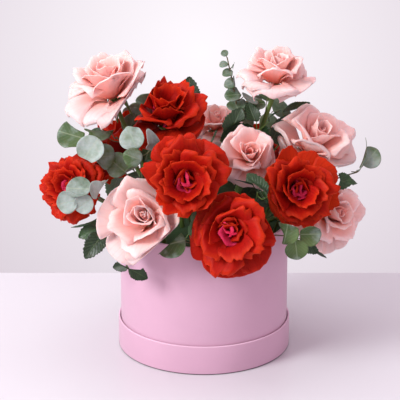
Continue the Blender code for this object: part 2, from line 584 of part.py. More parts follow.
def band(lower, upper, sides):
    """The triangles between two rings of points."""
    triangles = []
    for i in range(sides):
        k = (i + 1) % sides
        triangles += [(lower + i, lower + k, upper + k), (lower + i, upper + k, upper + i)]
    return triangles


def clear_scene():
    """An empty scene to build in."""
    for obj in list(bpy.data.objects):
        bpy.data.objects.remove(obj)


def material(name):
    """The shared material of that name, made on its first use."""
    found = bpy.data.materials.get(name)
    if found:
        return found
    colour, roughness = COLOURS[name]
    made = bpy.data.materials.new(name)
    made.use_nodes = True
    shader = made.node_tree.nodes["Principled BSDF"]
    shader.inputs["Base Color"].default_value = (*colour, 1)
    shader.inputs["Roughness"].default_value = roughness
    shader.inputs["Metallic"].default_value = 0.0
    return made


def new_object(name, points, faces, finish=None):
    """A mesh object in the scene, with the material that finish names."""
    mesh = bpy.data.meshes.new(name)
    mesh.from_pydata([tuple(map(float, p)) for p in points], [], [tuple(map(int, f)) for f in faces])
    obj = bpy.data.objects.new(name, mesh)
    bpy.context.scene.collection.objects.link(obj)
    if finish:
        mesh.materials.append(material(finish))
    return obj


def turned(name, profile, finish):
    """A closed solid turned about Z from a profile that starts and ends on the axis."""
    bm = bmesh.new()
    ring = [bm.verts.new((r, 0, z)) for r, z in profile]
    edges = [bm.edges.new(pair) for pair in zip(ring, ring[1:])]
    bmesh.ops.spin(bm, geom=ring + edges, axis=(0, 0, 1), angle=tau, steps=TURN_STEPS, use_merge=True)
    bmesh.ops.remove_doubles(bm, verts=bm.verts, dist=1e-6)
    bmesh.ops.dissolve_limit(bm, angle_limit=radians(1), verts=bm.verts, edges=bm.edges)
    bmesh.ops.recalc_face_normals(bm, faces=bm.faces)
    mesh = bpy.data.meshes.new(name)
    bm.to_mesh(mesh)
    bm.free()
    mesh.materials.append(material(finish))
    mesh.shade_smooth()
    mesh.set_sharp_from_angle(angle=radians(30))
    obj = bpy.data.objects.new(name, mesh)
    bpy.context.scene.collection.objects.link(obj)
    return obj


def slab(points, triangles, thickness):
    """A closed blade of even thickness from an open sheet, split into triangles alike on both faces."""
    points = np.asarray(points, float)
    triangles = np.asarray(triangles, int)
    a, b, c = (points[triangles[:, i]] for i in range(3))
    faces_out = np.cross(b - a, c - a)
    normals = np.zeros_like(points)
    for i in range(3):
        np.add.at(normals, triangles[:, i], faces_out)
    normals /= np.linalg.norm(normals, axis=1)[:, None]
    both = np.concatenate([points + normals * thickness / 2, points - normals * thickness / 2])
    count = len(points)
    ways = {(int(t[i]), int(t[(i + 1) % 3])) for t in triangles for i in range(3)}
    faces = [tuple(t) for t in triangles] + [tuple(t[::-1] + count) for t in triangles]
    for start, end in sorted(w for w in ways if (w[1], w[0]) not in ways):
        faces.append((end, start, start + count))
        faces.append((end, start + count, end + count))
    return both, faces


def grid_triangles(columns, rows):
    """The triangles of a sheet whose points come row by row."""
    triangles = []
    for j in range(rows - 1):
        for i in range(columns - 1):
            a = j * columns + i
            triangles.append((a, a + 1, a + columns + 1))
            triangles.append((a, a + columns + 1, a + columns))
    return triangles


def keep_main_body(mesh):
    """Drops loose scraps and fills sealed hollows: only the largest shell of the mesh stays."""
    bm = bmesh.new()
    bm.from_mesh(mesh)
    bmesh.ops.triangulate(bm, faces=bm.faces)
    left = set(bm.verts)
    shells = []
    while left:
        stack = [left.pop()]
        shell = set(stack)
        while stack:
            for edge in stack.pop().link_edges:
                for vert in edge.verts:
                    if vert not in shell:
                        shell.add(vert)
                        stack.append(vert)
        left -= shell
        shells.append(shell)
    main = max(shells, key=len)
    bmesh.ops.delete(bm, geom=[vert for vert in bm.verts if vert not in main], context="VERTS")
    bm.to_mesh(mesh)
    bm.free()


def combined(base, others, operation):
    """The base object's mesh, joined with or cut by all the others in one Boolean on their collection."""
    group = bpy.data.collections.new(base.name + "_others")
    bpy.context.scene.collection.children.link(group)
    for i, other in enumerate(others):
        piece = new_object(f"{base.name}_{i}", *other)
        bpy.context.scene.collection.objects.unlink(piece)
        group.objects.link(piece)
    change = base.modifiers.new("combined", "BOOLEAN")
    change.operation = operation
    change.operand_type = "COLLECTION"
    change.collection = group
    change.solver = "MANIFOLD"
    graph = bpy.context.evaluated_depsgraph_get()
    mesh = bpy.data.meshes.new_from_object(base.evaluated_get(graph))
    base.modifiers.clear()
    base.data = mesh
    mesh.name = base.name
    for piece in list(group.objects):
        bpy.data.objects.remove(piece)
    bpy.data.collections.remove(group)
    return mesh


def fused(name, body, blades, finish):
    """One solid from a body and the blades that grow from it."""
    mesh = combined(new_object(name, *body, finish), blades, "UNION")
    keep_main_body(mesh)
    mesh.materials.clear()
    mesh.materials.append(material(finish))


def rod(path, radii, sides):
    """A closed rod of round section along a path, its section carried along without twist."""
    path = np.asarray(path, float)
    radii = np.broadcast_to(radii, len(path))
    tangents = np.gradient(path, axis=0)
    tangents /= np.linalg.norm(tangents, axis=1)[:, None]
    across = np.cross(tangents[0], (0.3, 1.0, 0.2))
    points = []
    for p, t, r in zip(path, tangents, radii):
        across = unit(across - (across @ t) * t)
        other = np.cross(t, across)
        turns = np.arange(sides) * tau / sides
        points += [p + r * (np.cos(q) * across + np.sin(q) * other) for q in turns]
    faces = [tuple(range(sides))[::-1]]
    for j in range(len(path) - 1):
        faces += band(j * sides, (j + 1) * sides, sides)
    faces.append(tuple(range((len(path) - 1) * sides, len(path) * sides)))
    return points, faces


def make_box():
    """The lid worn as a tray, and the box that stands in it."""
    lid = [(0, 0), (LID_RADIUS - RIM_ROUND, 0), (LID_RADIUS, RIM_ROUND), (LID_RADIUS, LID_HEIGHT - RIM_ROUND),
           (LID_RADIUS - RIM_ROUND, LID_HEIGHT), (LID_RADIUS - LID_BOARD, LID_HEIGHT),
           (LID_RADIUS - LID_BOARD, LID_BOARD), (0, LID_BOARD)]
    turned("lid_tray", lid, "pink_board")
    foot = LID_BOARD + SEAT_GAP
    box = [(0, foot), (BOX_RADIUS, foot), (BOX_RADIUS, BOX_TOP - RIM_ROUND),
           (BOX_RADIUS - RIM_ROUND, BOX_TOP), (BOX_RADIUS - BOARD, BOX_TOP),
           (BOX_RADIUS - BOARD, foot + BOARD), (0, foot + BOARD)]
    turned("hat_box", box, "pink_board")
    film_foot = foot + BOARD + SEAT_GAP
    film_radius = BOX_RADIUS - BOARD - SEAT_GAP
    film = [(0, film_foot), (film_radius, film_foot), (film_radius, FILM_TOP), (film_radius - FILM, FILM_TOP),
            (film_radius - FILM, film_foot + FILM), (0, film_foot + FILM)]
    turned("liner", film, "film")
    foam_radius = film_radius - FILM - SEAT_GAP
    foam_foot = film_foot + FILM + SEAT_GAP
    block = [(0, foam_foot), (foam_radius, foam_foot), (foam_radius, FOAM_TOP), (0, FOAM_TOP)]
    return turned("floral_foam", block, "foam")


def drill_stem_holes(foam, feet):
    """Plain blind holes in the foam, each a little wider and deeper than the stem that stands in it."""
    drills = []
    for foot, radius, sides in feet:
        path = [(*foot, FOAM_TOP - STEM_DEPTH - SEAT_GAP), (*foot, FOAM_TOP + radius)]
        drills.append(rod(path, (radius + SEAT_GAP) / np.cos(pi / sides), sides))
    combined(foam, drills, "DIFFERENCE")


def bud_core(bloom):
    """The closed bud in the middle, its wrapped petals as ridges that wind inwards to the eye."""
    scale = bloom.size / BLOOM_SIZE
    points = []
    for level, (height, radius) in enumerate(BUD_LEVELS):
        for i in range(BUD_SIDES):
            turn = i / BUD_SIDES
            ridge = (BUD_RIDGES * turn + 0.25 * level) % 1.0 if level else 0.0
            r = scale * radius * (1 + BUD_RIDGE * ridge)
            z = scale * (height + BUD_RIDGE * radius * ridge)
            points.append((r * np.cos(tau * turn), r * np.sin(tau * turn), z))
    points.append((0, 0, scale * BUD_EYE))
    faces = [tuple(range(BUD_SIDES))[::-1]]
    for level in range(len(BUD_LEVELS) - 1):
        faces += band(level * BUD_SIDES, (level + 1) * BUD_SIDES, BUD_SIDES)
    last = (len(BUD_LEVELS) - 1) * BUD_SIDES
    faces += [(last + i, last + (i + 1) % BUD_SIDES, len(points) - 1) for i in range(BUD_SIDES)]
    return pressed(bloom, placed(bloom, np.array(points))), faces


def shown_petals(bloom):
    """The outermost petal, then each time the one that stands furthest round from those taken."""
    petals = petal_settings(bloom)[bloom.inner:]
    shown = [petals.pop()]
    while len(shown) < SHOWN_PETALS:
        shown.append(max(petals, key=lambda p: min(1 - np.cos(p["azimuth"] - q["azimuth"]) for q in shown)))
        petals.remove(shown[-1])
    return shown


def make_bloom(bloom):
    """The bud and the petals that stand out of it."""
    blades = []
    for petal in shown_petals(bloom):
        petal["half"] *= PETAL_SLIM
        sheet = pressed(bloom, placed(bloom, petal_sheet(petal, *PETAL_GRID))).reshape(-1, 3)
        blades.append(slab(sheet, grid_triangles(*PETAL_GRID), PETAL_THICKNESS))
    fused(bloom.name, bud_core(bloom), blades, bloom.petal)


def blade(start, end, facing, shape, width):
    """A leaf's middle surface from stalk to tip, arched, and folded along its rib where it has one."""
    along = end - start
    length = np.linalg.norm(along)
    forward = along / length
    across = unit(np.cross(facing, forward))
    face = np.cross(forward, across)
    widths = shape["widths"]
    rows = len(widths) + 1
    shares = np.linspace(0, 1, rows + 1)[:, None]
    rib = list(start + along * shares - face * shape["droop"] * length * shares ** 2)
    edges = []
    for side in (-1, 1):
        edges.append([rib[j] + (across * side + face * shape["fold"]) * share * width / 2
                      for j, share in enumerate(widths, start=1)])
    points = rib + edges[0] + edges[1]
    first, second = [[0, *(rows + 1 + k * len(widths) + j for j in range(len(widths))), rows] for k in (0, 1)]
    strips = [(list(range(rows + 1)), first), (second, list(range(rows + 1)))]
    if not shape["rib"]:
        points = [rib[0], *edges[0], *edges[1], rib[-1]]
        last = len(points) - 1
        strips = [([0, *range(rows, last), last], [0, *range(1, rows), last])]
    triangles = []
    for inner, outer in strips:
        for j in range(rows):
            corners = inner[j], inner[j + 1], outer[j + 1], outer[j]
            for tri in ((corners[0], corners[1], corners[2]), (corners[0], corners[2], corners[3])):
                if len(set(tri)) == 3:
                    triangles.append(tri)
    return np.array(points), triangles


def turned_to_match(ring, below):
    """The ring's points, started at the one nearest the first point below, so that the skin has no twist."""
    best = min(range(len(ring)), key=lambda i: np.linalg.norm(np.roll(ring, -i, axis=0) - below))
    return np.roll(ring, -best, axis=0)


def make_stem(bloom, blooms):
    """The stem in the foam, the cup under the bloom and its sepals, as one green solid."""
    others = [b for b in blooms if b is not bloom]
    scale = bloom.size / BLOOM_SIZE
    rings = []
    for height, radius in CALYX_LEVELS:
        ring = [(scale * radius * np.cos(tau * i / STEM_SIDES), scale * radius * np.sin(tau * i / STEM_SIDES),
                 scale * height) for i in range(STEM_SIDES)]
        rings.append(pressed(bloom, placed(bloom, np.array(ring))))
    neck = pressed(bloom, placed(bloom, np.array([(0, 0, scale * NECK)])))[0]
    foot = np.array((*bloom.foot, FOAM_TOP))
    rise = foot + (0, 0, ROSE_RISE)
    run = smooth_curve([foot, rise, neck - NECK_RUN * bloom.axis, neck], STEM_POINTS)
    run = threaded(run, others, ROSE_STEM + STEM_ROOM, 2)
    run[-1] = neck
    path = np.concatenate([[foot - (0, 0, STEM_DEPTH)], run])
    points, faces = rod(path, ROSE_STEM, STEM_SIDES)
    faces.pop()
    rings = [turned_to_match(ring, points[-STEM_SIDES:]) for ring in rings]
    points += list(rings[0]) + list(rings[1])
    top = len(points) - STEM_SIDES
    faces += band(top - 2 * STEM_SIDES, top - STEM_SIDES, STEM_SIDES)
    for i in range(STEM_SIDES):
        k = (i + 1) % STEM_SIDES
        corners = [top - STEM_SIDES + i, top - STEM_SIDES + k, top + k, top + i]
        brim = (points[corners[2]] + points[corners[3]]) / 2
        tip = brim + scale * (SEPAL_OUT * unit(brim - neck - ((brim - neck) @ bloom.axis) * bloom.axis)
                              - SEPAL_DOWN * bloom.axis)
        faces += [(a, b, len(points)) for a, b in zip(corners, corners[1:] + corners[:1])]
        points.append(clear_of_box(tip[None], LEAF_ROOM)[0])
    faces.append(tuple(range(top, top + STEM_SIDES)))
    new_object(bloom.name + "_stem", points, faces, "rose_green")


def leaf_joint(run, middle, size, last):
    """Where a leaf leaves its stem: a little below the place nearest to it, or at the tip."""
    if last:
        return run[-1] - LEAF_BITE * unit(run[-1] - run[-2])
    at = np.linspace(0, len(run) - 1, JOINT_STEPS)
    line = np.stack([np.interp(at, np.arange(len(run)), run[:, i]) for i in range(3)], -1)
    nearest = int(np.argmin(np.linalg.norm(line - middle, axis=1)))
    step = np.linalg.norm(line[1] - line[0])
    return line[max(nearest - int(JOINT_BACK * size / step), JOINT_STEPS // 3)]


def leaf_blade(joint, middle, size, facing, shape, blooms):
    """One leaf round its middle, square to the way it looks, with a narrow root back to its joint."""
    facing = unit(np.array(facing, float))
    away = np.array(middle) - joint
    way = unit(away - (away @ facing) * facing)
    length = size * shape["length"]
    start = middle - LEAF_MIDDLE * length * way
    sheet, triangles = blade(start, start + length * way, facing, shape, size * shape["width"])
    sheet[0] = joint + LEAF_START * way
    sheet[1:] = cleared(sheet[1:], blooms, LEAF_ROOM)
    return slab(sheet, triangles, LEAF_THICKNESS)


def make_spray(spray, blooms):
    """A stem with its leaves, as one solid."""
    foot = np.array((*spray.foot, FOAM_TOP))
    run = smooth_curve([foot, foot + (0, 0, SPRAY_RISE), *spray.via], SPRAY_POINTS)
    run = threaded(run, blooms, SPRAY_STEM + STEM_ROOM, 2)
    path = np.concatenate([[foot - (0, 0, STEM_DEPTH)], run])
    radii = np.linspace(SPRAY_STEM, SPRAY_TAPER * SPRAY_STEM, len(path))
    blades = []
    for number, (middle, size, facing) in enumerate(spray.leaves, start=1):
        joint = leaf_joint(run, middle, size, number == len(spray.leaves))
        blades.append(leaf_blade(joint, middle, size, facing, SHAPES[spray.leaf], blooms))
    fused(spray.name, rod(path, radii, SPRAY_SIDES), blades, spray.leaf)


def make_all():
    """Every piece of the hat box, from the lid up."""
    clear_scene()
    find_walls(BLOOMS)
    foam = make_box()
    feet = [(b.foot, ROSE_STEM, ROSE_HOLE_SIDES) for b in BLOOMS]
    feet += [(s.foot, SPRAY_STEM, SPRAY_HOLE_SIDES) for s in SPRAYS]
    drill_stem_holes(foam, feet)
    for bloom in BLOOMS:
        make_bloom(bloom)
        make_stem(bloom, BLOOMS)
    for spray in SPRAYS:
        make_spray(spray, BLOOMS)


make_all()
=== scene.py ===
"""The looks of a round hat box of roses and eucalyptus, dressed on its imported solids.

Metres, +Z up, the box standing at the origin with -Y to the front. Each section makes one piece, or one
group of like pieces.
"""

from math import cos, pi, radians, sin, tau

import bmesh
import bpy
import numpy as np
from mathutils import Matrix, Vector


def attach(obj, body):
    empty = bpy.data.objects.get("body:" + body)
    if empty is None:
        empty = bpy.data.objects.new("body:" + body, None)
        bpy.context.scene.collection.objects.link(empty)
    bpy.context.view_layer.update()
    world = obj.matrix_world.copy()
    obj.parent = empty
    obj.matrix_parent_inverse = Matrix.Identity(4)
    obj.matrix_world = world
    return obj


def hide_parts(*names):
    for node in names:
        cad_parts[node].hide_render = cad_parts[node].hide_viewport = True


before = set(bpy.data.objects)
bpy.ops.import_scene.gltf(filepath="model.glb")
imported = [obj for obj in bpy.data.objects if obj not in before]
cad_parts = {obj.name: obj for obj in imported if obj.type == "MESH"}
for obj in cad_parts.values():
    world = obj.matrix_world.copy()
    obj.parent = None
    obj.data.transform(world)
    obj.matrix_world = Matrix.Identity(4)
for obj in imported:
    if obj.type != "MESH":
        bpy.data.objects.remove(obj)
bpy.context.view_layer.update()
scene = bpy.context.scene


# The view. A long lens from a little above, as the photograph was taken, aimed at the arrangement's middle.
VIEW_TILT = radians(20.5)
VIEW_DISTANCE = 3.0
AIM = Vector((-0.0048, 0.0, 0.1816))
camera = bpy.data.objects.new("camera", bpy.data.cameras.new("camera"))
camera.data.lens = 226.9
camera.data.sensor_width = 36.0
camera.location = AIM + VIEW_DISTANCE * Vector((0.0, -cos(VIEW_TILT), sin(VIEW_TILT)))
camera.rotation_euler = (AIM - camera.location).to_track_quat("-Z", "Y").to_euler()
scene.collection.objects.link(camera)
scene.camera = camera


# The studio. A pale table that ends a little behind the box, a wall far behind it that glows by itself in a
# painted pool of light, brightest round its middle, a large soft window light from the left, and weak fills from
# the right and from above.
def tint(red, green, blue):
    """A colour as a screen shows it, 0 to 255, in the linear values that materials take."""
    seen = np.array((red, green, blue)) / 255
    return (*np.where(seen < 0.04045, seen / 12.92, ((seen + 0.055) / 1.055) ** 2.4), 1.0)


def new_material(name, roughness, **plain):
    """A material with its Principled shader, whose plain sockets are set by name."""
    made = bpy.data.materials.new(name)
    made.use_nodes = True
    shader = made.node_tree.nodes["Principled BSDF"]
    shader.inputs["Roughness"].default_value = roughness
    for socket, value in plain.items():
        shader.inputs[socket.replace("_", " ")].default_value = value
    return made, made.node_tree, shader


def add_node(tree, kind, links=(), **settings):
    """A node with its settings, and its inputs set to a value or joined to another node's output."""
    node = tree.nodes.new(kind)
    for key, value in settings.items():
        setattr(node, key, value)
    for socket, value in dict(links).items():
        if isinstance(value, bpy.types.NodeSocket):
            tree.links.new(value, node.inputs[socket])
        else:
            node.inputs[socket].default_value = value
    return node


def join_inputs(tree, node, sources):
    """Other nodes' outputs joined to a node's inputs, by name."""
    for socket, source in sources.items():
        tree.links.new(source, node.inputs[socket])


def object_place(tree):
    """Where a point lies on its object, which keeps a pattern still on it."""
    return add_node(tree, "ShaderNodeTexCoord").outputs["Object"]


def noise(tree, place, scale, detail, **more):
    """Cloudy noise, 0 to 1."""
    links = {"Vector": place, "Scale": scale, "Detail": detail, **more}
    return add_node(tree, "ShaderNodeTexNoise", links).outputs["Fac"]


def blend_colours(tree, share, first, second):
    """The first colour where the share is 0, and the second where it is 1."""
    links = {"Factor": share, 6: first, 7: second}
    return add_node(tree, "ShaderNodeMix", links, data_type="RGBA").outputs[2]


def linked_object(name, mesh):
    obj = bpy.data.objects.new(name, mesh)
    scene.collection.objects.link(obj)
    return obj


def stage_quad(name, corners, finish):
    mesh = bpy.data.meshes.new(name)
    mesh.from_pydata(corners, [], [tuple(range(4))])
    mesh.materials.append(finish)
    obj = linked_object(name, mesh)


TABLE_SIDE = 4
TABLE_EDGE = 0.216
table_finish, tree, shader = new_material("pale_table", 0.32)
cloud = noise(tree, object_place(tree), 3.0, 4.0)
pale = blend_colours(tree, cloud, tint(210, 208, 213), tint(219, 219, 224))
join_inputs(tree, shader, {"Base Color": pale})
stage_quad("table", [(-TABLE_SIDE, -TABLE_SIDE, 0), (TABLE_SIDE, -TABLE_SIDE, 0), (TABLE_SIDE, TABLE_EDGE, 0),
                     (-TABLE_SIDE, TABLE_EDGE, 0)], table_finish)

WALL_Y, WALL_SIDE, WALL_FOOT, WALL_TOP = 7.0, 9, -8, 5
GLOW_MIDDLE = 1.196
GLOW_SPREAD = 0.665
# The wall is not lit: it glows by itself, a painted pool of light brightest round its middle and dimmer to its
# edges
wall_finish, tree, shader = new_material("glowing_wall", 0.9, Emission_Strength=1.0,
                                         Base_Color=(0.02, 0.02, 0.02, 1))
centred = add_node(tree, "ShaderNodeMapping", {
    "Vector": object_place(tree), "Location": (0.0, 0.0, GLOW_MIDDLE), "Scale": (GLOW_SPREAD, 0.0, GLOW_SPREAD)})
spot = add_node(tree, "ShaderNodeTexGradient", {"Vector": centred.outputs[0]}, gradient_type="SPHERICAL")
glow = blend_colours(tree, spot.outputs["Fac"], tint(212, 201, 211), tint(255, 250, 255))
join_inputs(tree, shader, {"Emission Color": glow})
stage_quad("wall", [(-WALL_SIDE, WALL_Y, WALL_FOOT), (WALL_SIDE, WALL_Y, WALL_FOOT),
                    (WALL_SIDE, WALL_Y, WALL_TOP), (-WALL_SIDE, WALL_Y, WALL_TOP)], wall_finish)

LIT = Vector((0, 0, 0.18))
for name, at, size, power, colour in (
        ("window", (-2.2, -1.5, 1.88), 1.15, 92.0, (0.98, 1.0, 0.98)),
        ("fill", (1.2, -1.9, 0.8), 1.6, 3.0, (1.0, 0.97, 1.0)),
        ("top", (-0.3, 0.3, 2.2), 1.6, 17.0, (1.0, 0.99, 1.0))):
    light = bpy.data.objects.new(name, bpy.data.lights.new(name, "AREA"))
    light.data.size = size
    light.data.energy = power
    light.data.color = colour
    light.location = at
    light.rotation_euler = (LIT - light.location).to_track_quat("-Z", "Y").to_euler()
    scene.collection.objects.link(light)
scene.world = bpy.data.worlds.new("room")
scene.world.use_nodes = True
room_light = scene.world.node_tree.nodes["Background"].inputs
room_light["Color"].default_value = tint(250, 227, 241)
room_light["Strength"].default_value = 0.72
scene.view_settings.view_transform = "Standard"


# The lid, worn as a tray. A shallow round tray of 2 mm board, covered in soft-touch paper whose wrap is turned
# in over the rim and overlaps itself in one glued seam at the back. The box only stands in it.
LID_RADIUS = 0.103
LID_HEIGHT = 0.036
LID_BOARD = 0.0020
PAPER_STEP = 0.00022
SEAM_WIDTH = 0.014
TURN_IN = 0.012
TURN_STEPS = 240


def math_node(tree, operation, *values):
    """One step of arithmetic on numbers or on other nodes' outputs."""
    return add_node(tree, "ShaderNodeMath", dict(enumerate(values)), operation=operation).outputs[0]


def ranged(tree, value, low, high, start=0.0, end=1.0):
    """A value's run from low to high turned into one from start to end, and held there beyond."""
    return add_node(tree, "ShaderNodeMapRange", {"Value": value, "From Min": low, "From Max": high,
                                                 "To Min": start, "To Max": end}).outputs[0]


def dimmed(tree, colour, share):
    """A colour, or any vector, times a number."""
    return add_node(tree, "ShaderNodeVectorMath", {0: colour, "Scale": share}, operation="SCALE").outputs[0]


def bumped(tree, height, strength, depth, over=None, sunken=False):
    """A normal raised by a height, or sunken by it, over another normal where one is given."""
    links = {"Height": height, "Strength": strength, "Distance": depth}
    if over:
        links["Normal"] = over
    return add_node(tree, "ShaderNodeBump", links, invert=sunken).outputs[0]


def group_with(name, sockets_in, sockets_out):
    """An empty shader node group with named inputs and outputs."""
    tree = bpy.data.node_groups.new(name, "ShaderNodeTree")
    for label, kind, value in sockets_in:
        socket = tree.interface.new_socket(label, in_out="INPUT", socket_type=kind)
        socket.default_value = value
    for label, kind in sockets_out:
        tree.interface.new_socket(label, in_out="OUTPUT", socket_type=kind)
    return tree, tree.nodes.new("NodeGroupInput").outputs, tree.nodes.new("NodeGroupOutput")


# Wrapping paper: fibres too fine to see one by one, a little cloudiness, a rubbed rim, and a painted contact
# shadow:
# a dark line at the foot, where the paper meets the table
paper_group, given, result = group_with("wrapping paper", [
    ("Colour", "NodeSocketColor", (1, 1, 1, 1)), ("Rubbed", "NodeSocketColor", (1, 1, 1, 1)),
    ("Rim Height", "NodeSocketFloat", 0.1), ("Foot Height", "NodeSocketFloat", 0.0)],
    [("Colour", "NodeSocketColor"), ("Roughness", "NodeSocketFloat"), ("Normal", "NodeSocketVector")])
PAINTED_CONTACT_SHADOW = tint(62, 42, 54)
place = object_place(paper_group)
cloud = noise(paper_group, place, 9.0, 5.0, Roughness=0.6)
fibre = noise(paper_group, place, 1400.0, 3.0)
height = add_node(paper_group, "ShaderNodeSeparateXYZ", {0: place}).outputs["Z"]


def near(level, full, none):
    """1 as near to a height as full, falling to 0 at none."""
    gap = math_node(paper_group, "ABSOLUTE", math_node(paper_group, "SUBTRACT", height, level))
    return ranged(paper_group, gap, full, none, 1.0, 0.0)


worn = math_node(paper_group, "MULTIPLY", near(given["Rim Height"], 0.0002, 0.0012), cloud)
tone = dimmed(paper_group, given["Colour"], ranged(paper_group, cloud, 0.3, 0.7, 0.95, 1.03))
tone = blend_colours(paper_group, worn, tone, given["Rubbed"])
# A painted contact shadow: the colour darkened within a millimetre or so of the foot's height
tone = blend_colours(paper_group, near(given["Foot Height"], 0.0010, 0.0016), tone, PAINTED_CONTACT_SHADOW)
rough = ranged(paper_group, fibre, 0.0, 1.0, 0.5, 0.68)
join_inputs(paper_group, result, {"Colour": tone, "Roughness": rough,
                                  "Normal": bumped(paper_group, fibre, 0.12, 0.0002)})

BOX_PINK = tint(207, 164, 187)


def paper_material(name, colour, rim, foot):
    """Soft-touch paper of one colour, rubbed pale at the rim's height and darkened at the foot's by a painted
    contact shadow.
    """
    made, tree, shader = new_material(name, 0.6, Sheen_Weight=0.25, Sheen_Roughness=0.5)
    wrap = add_node(tree, "ShaderNodeGroup", {
        "Colour": colour, "Rubbed": tint(250, 218, 238), "Rim Height": rim, "Foot Height": foot},
        node_tree=paper_group).outputs
    join_inputs(tree, shader, {"Base Color": wrap["Colour"], "Roughness": wrap["Roughness"],
                               "Normal": wrap["Normal"]})
    return made


def closed_rings(name, rings, low, high, finish):
    """A closed solid through rings of points, its ends closed round middles at the heights low and high."""
    count = len(rings[0])
    points = np.concatenate([*rings, [(0, 0, low), (0, 0, high)]])
    first, last = len(points) - 2, len(points) - 1
    end = (len(rings) - 1) * count
    after = [(i, (i + 1) % count) for i in range(count)]
    faces = [(a + i, a + k, a + count + k, a + count + i) for a in range(0, end, count) for i, k in after]
    for i, k in after:
        faces += [(first, k, i), (last, end + i, end + k)]
    mesh = bpy.data.meshes.new(name)
    mesh.from_pydata(points.tolist(), [], faces)
    mesh.materials.append(finish)
    mesh.shade_smooth()
    return linked_object(name, mesh)


def turned(name, profile, finish, seam_at, seam_from, seam_to):
    """A solid turned about Z, from the middle of its underside round to the middle of its inside floor.

    Points from seam_from to seam_to step out by a paper's thickness across the seam.
    """
    turns = np.arange(TURN_STEPS) * tau / TURN_STEPS
    inside_seam = turns * LID_RADIUS < SEAM_WIDTH
    turns = turns + radians(seam_at)
    rings = []
    for row, (radius, z) in enumerate(profile[1:-1]):
        step = PAPER_STEP if seam_from <= row <= seam_to else 0.0
        reach = radius + np.where(inside_seam, step, 0.0)
        rings.append(np.stack([reach * np.cos(turns), reach * np.sin(turns), np.full(TURN_STEPS, z)], -1))
    obj = closed_rings(name, rings, profile[0][1], profile[-1][1], finish)
    obj.data.set_sharp_from_angle(angle=radians(35))
    return obj


def rounded(corners):
    """A profile whose corners, given as (r, z, round), are turned in short arcs."""
    profile = []
    for i, (r, z, curve) in enumerate(corners):
        here = np.array((r, z))
        if curve == 0 or i in (0, len(corners) - 1):
            profile.append(tuple(here))
            continue
        before = np.array(corners[i - 1][:2]) - here
        after = np.array(corners[i + 1][:2]) - here
        before, after = before / np.linalg.norm(before), after / np.linalg.norm(after)
        for q in np.linspace(0, pi / 2, 5):
            away = (1 - np.sin(q)) * before + (1 - np.cos(q)) * after
            profile.append(tuple(here + curve * away))
    return profile


def walled(radius, foot, top, board, curve, inner_step):
    """A tray's or box's profile: floor, outer wall, rim, the paper's turn-in and the inside floor."""
    inside = radius - board
    return rounded([(0, foot, 0), (radius, foot, curve), (radius, top, 0.45 * board),
                    (inside - inner_step, top, 0.35 * board), (inside - inner_step, top - TURN_IN, 0),
                    (inside, top - TURN_IN - inner_step, 0), (inside, foot + board, 0.0006),
                    (0, foot + board, 0)])


# The first and last rows of a walled profile on the outside of the wall, where the glued seam shows
SEAM_ROWS = (3, 8)
lid = turned("lid", walled(LID_RADIUS, 0.0, LID_HEIGHT, LID_BOARD, 0.0009, 0.0),
             paper_material("lid_paper", BOX_PINK, LID_HEIGHT, 0.0), 78, *SEAM_ROWS)
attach(lid, "root")
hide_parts("lid_tray")


# The hat box itself. A tube of 2.4 mm board with a board floor, covered in the same soft-touch paper, which is
# turned in over the rim. It stands inside the upturned lid.
BOX_RADIUS = 0.100
BOX_TOP = 0.160
BOARD = 0.0024
SEAT_GAP = 0.0003
BOX_FOOT = LID_BOARD + SEAT_GAP
box = turned("box", walled(BOX_RADIUS, BOX_FOOT, BOX_TOP, BOARD, 0.0006, 0.0002),
             paper_material("box_paper", BOX_PINK, BOX_TOP, BOX_FOOT), 96, *SEAM_ROWS)
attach(box, "root")
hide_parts("hat_box")


# The film that keeps the wet foam off the board: a clear bag pushed into the box, crinkled, its edge standing a
# few millimetres above the foam all round.
FILM = 0.0005
FILM_TOP = 0.150
FILM_ROOM = BOX_RADIUS - BOARD - SEAT_GAP - 0.0001
FILM_FOOT = BOX_FOOT + BOARD + SEAT_GAP
FILM_ROWS = 26
FILM_SIDES = 360
FILM_FOLD = 0.0002
FILM_EDGE_FOLD = 0.0012
draw = np.random.default_rng(4)
film_waves = [(draw.integers(9, 70), draw.uniform(0, tau), draw.uniform(0.2, 1.0)) for _ in range(14)]


def crinkle(turns, level):
    """How far the film stands in from the wall, 0 to 1, at a turn and a height share."""
    total = sum(w * np.sin(n * turns + p + 3 * w * level) for n, p, w in film_waves)
    return 0.5 + 0.5 * np.tanh(0.45 * total)


def make_film():
    """The bag, outside from its floor up and inside down again."""
    turns = np.arange(FILM_SIDES) * tau / FILM_SIDES
    edge = FILM_EDGE_FOLD * crinkle(turns, 2.0)
    levels = np.linspace(0, 1, FILM_ROWS)
    rings = []
    for inward, rows in ((0.0, levels), (FILM, levels[::-1])):
        for level in rows:
            z = FILM_FOOT + inward + (FILM_TOP - FILM_FOOT - inward) * level - edge * (level == 1)
            r = FILM_ROOM - inward - FILM_FOLD * crinkle(turns, level)
            rings.append(np.stack([r * np.cos(turns), r * np.sin(turns), np.broadcast_to(z, FILM_SIDES)], -1))
    finish, _, _ = new_material("clear_film", 0.12, Alpha=0.45, Base_Color=tint(226, 236, 236))
    return closed_rings("film", rings, FILM_FOOT, FILM_FOOT + FILM, finish)


film = make_film()
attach(film, "root")
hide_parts("liner")


# The floral foam: a drum of wet green foam that fills the box, with a plain hole for every stem. It keeps its
# solid and gets the look of fine open cells, unevenly wet.
foam_finish, tree, shader = new_material("foam_cells", 0.9)
place = object_place(tree)
cells = add_node(tree, "ShaderNodeTexVoronoi", {"Vector": place, "Scale": 900.0})
wet = noise(tree, place, 30.0, 6.0)
join_inputs(tree, shader, {"Base Color": blend_colours(tree, wet, tint(22, 48, 26), tint(58, 96, 52)),
                           "Normal": bumped(tree, cells.outputs["Distance"], 0.7, 0.0006)})
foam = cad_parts["floral_foam"]
foam.data.materials.clear()
foam.data.materials.append(foam_finish)


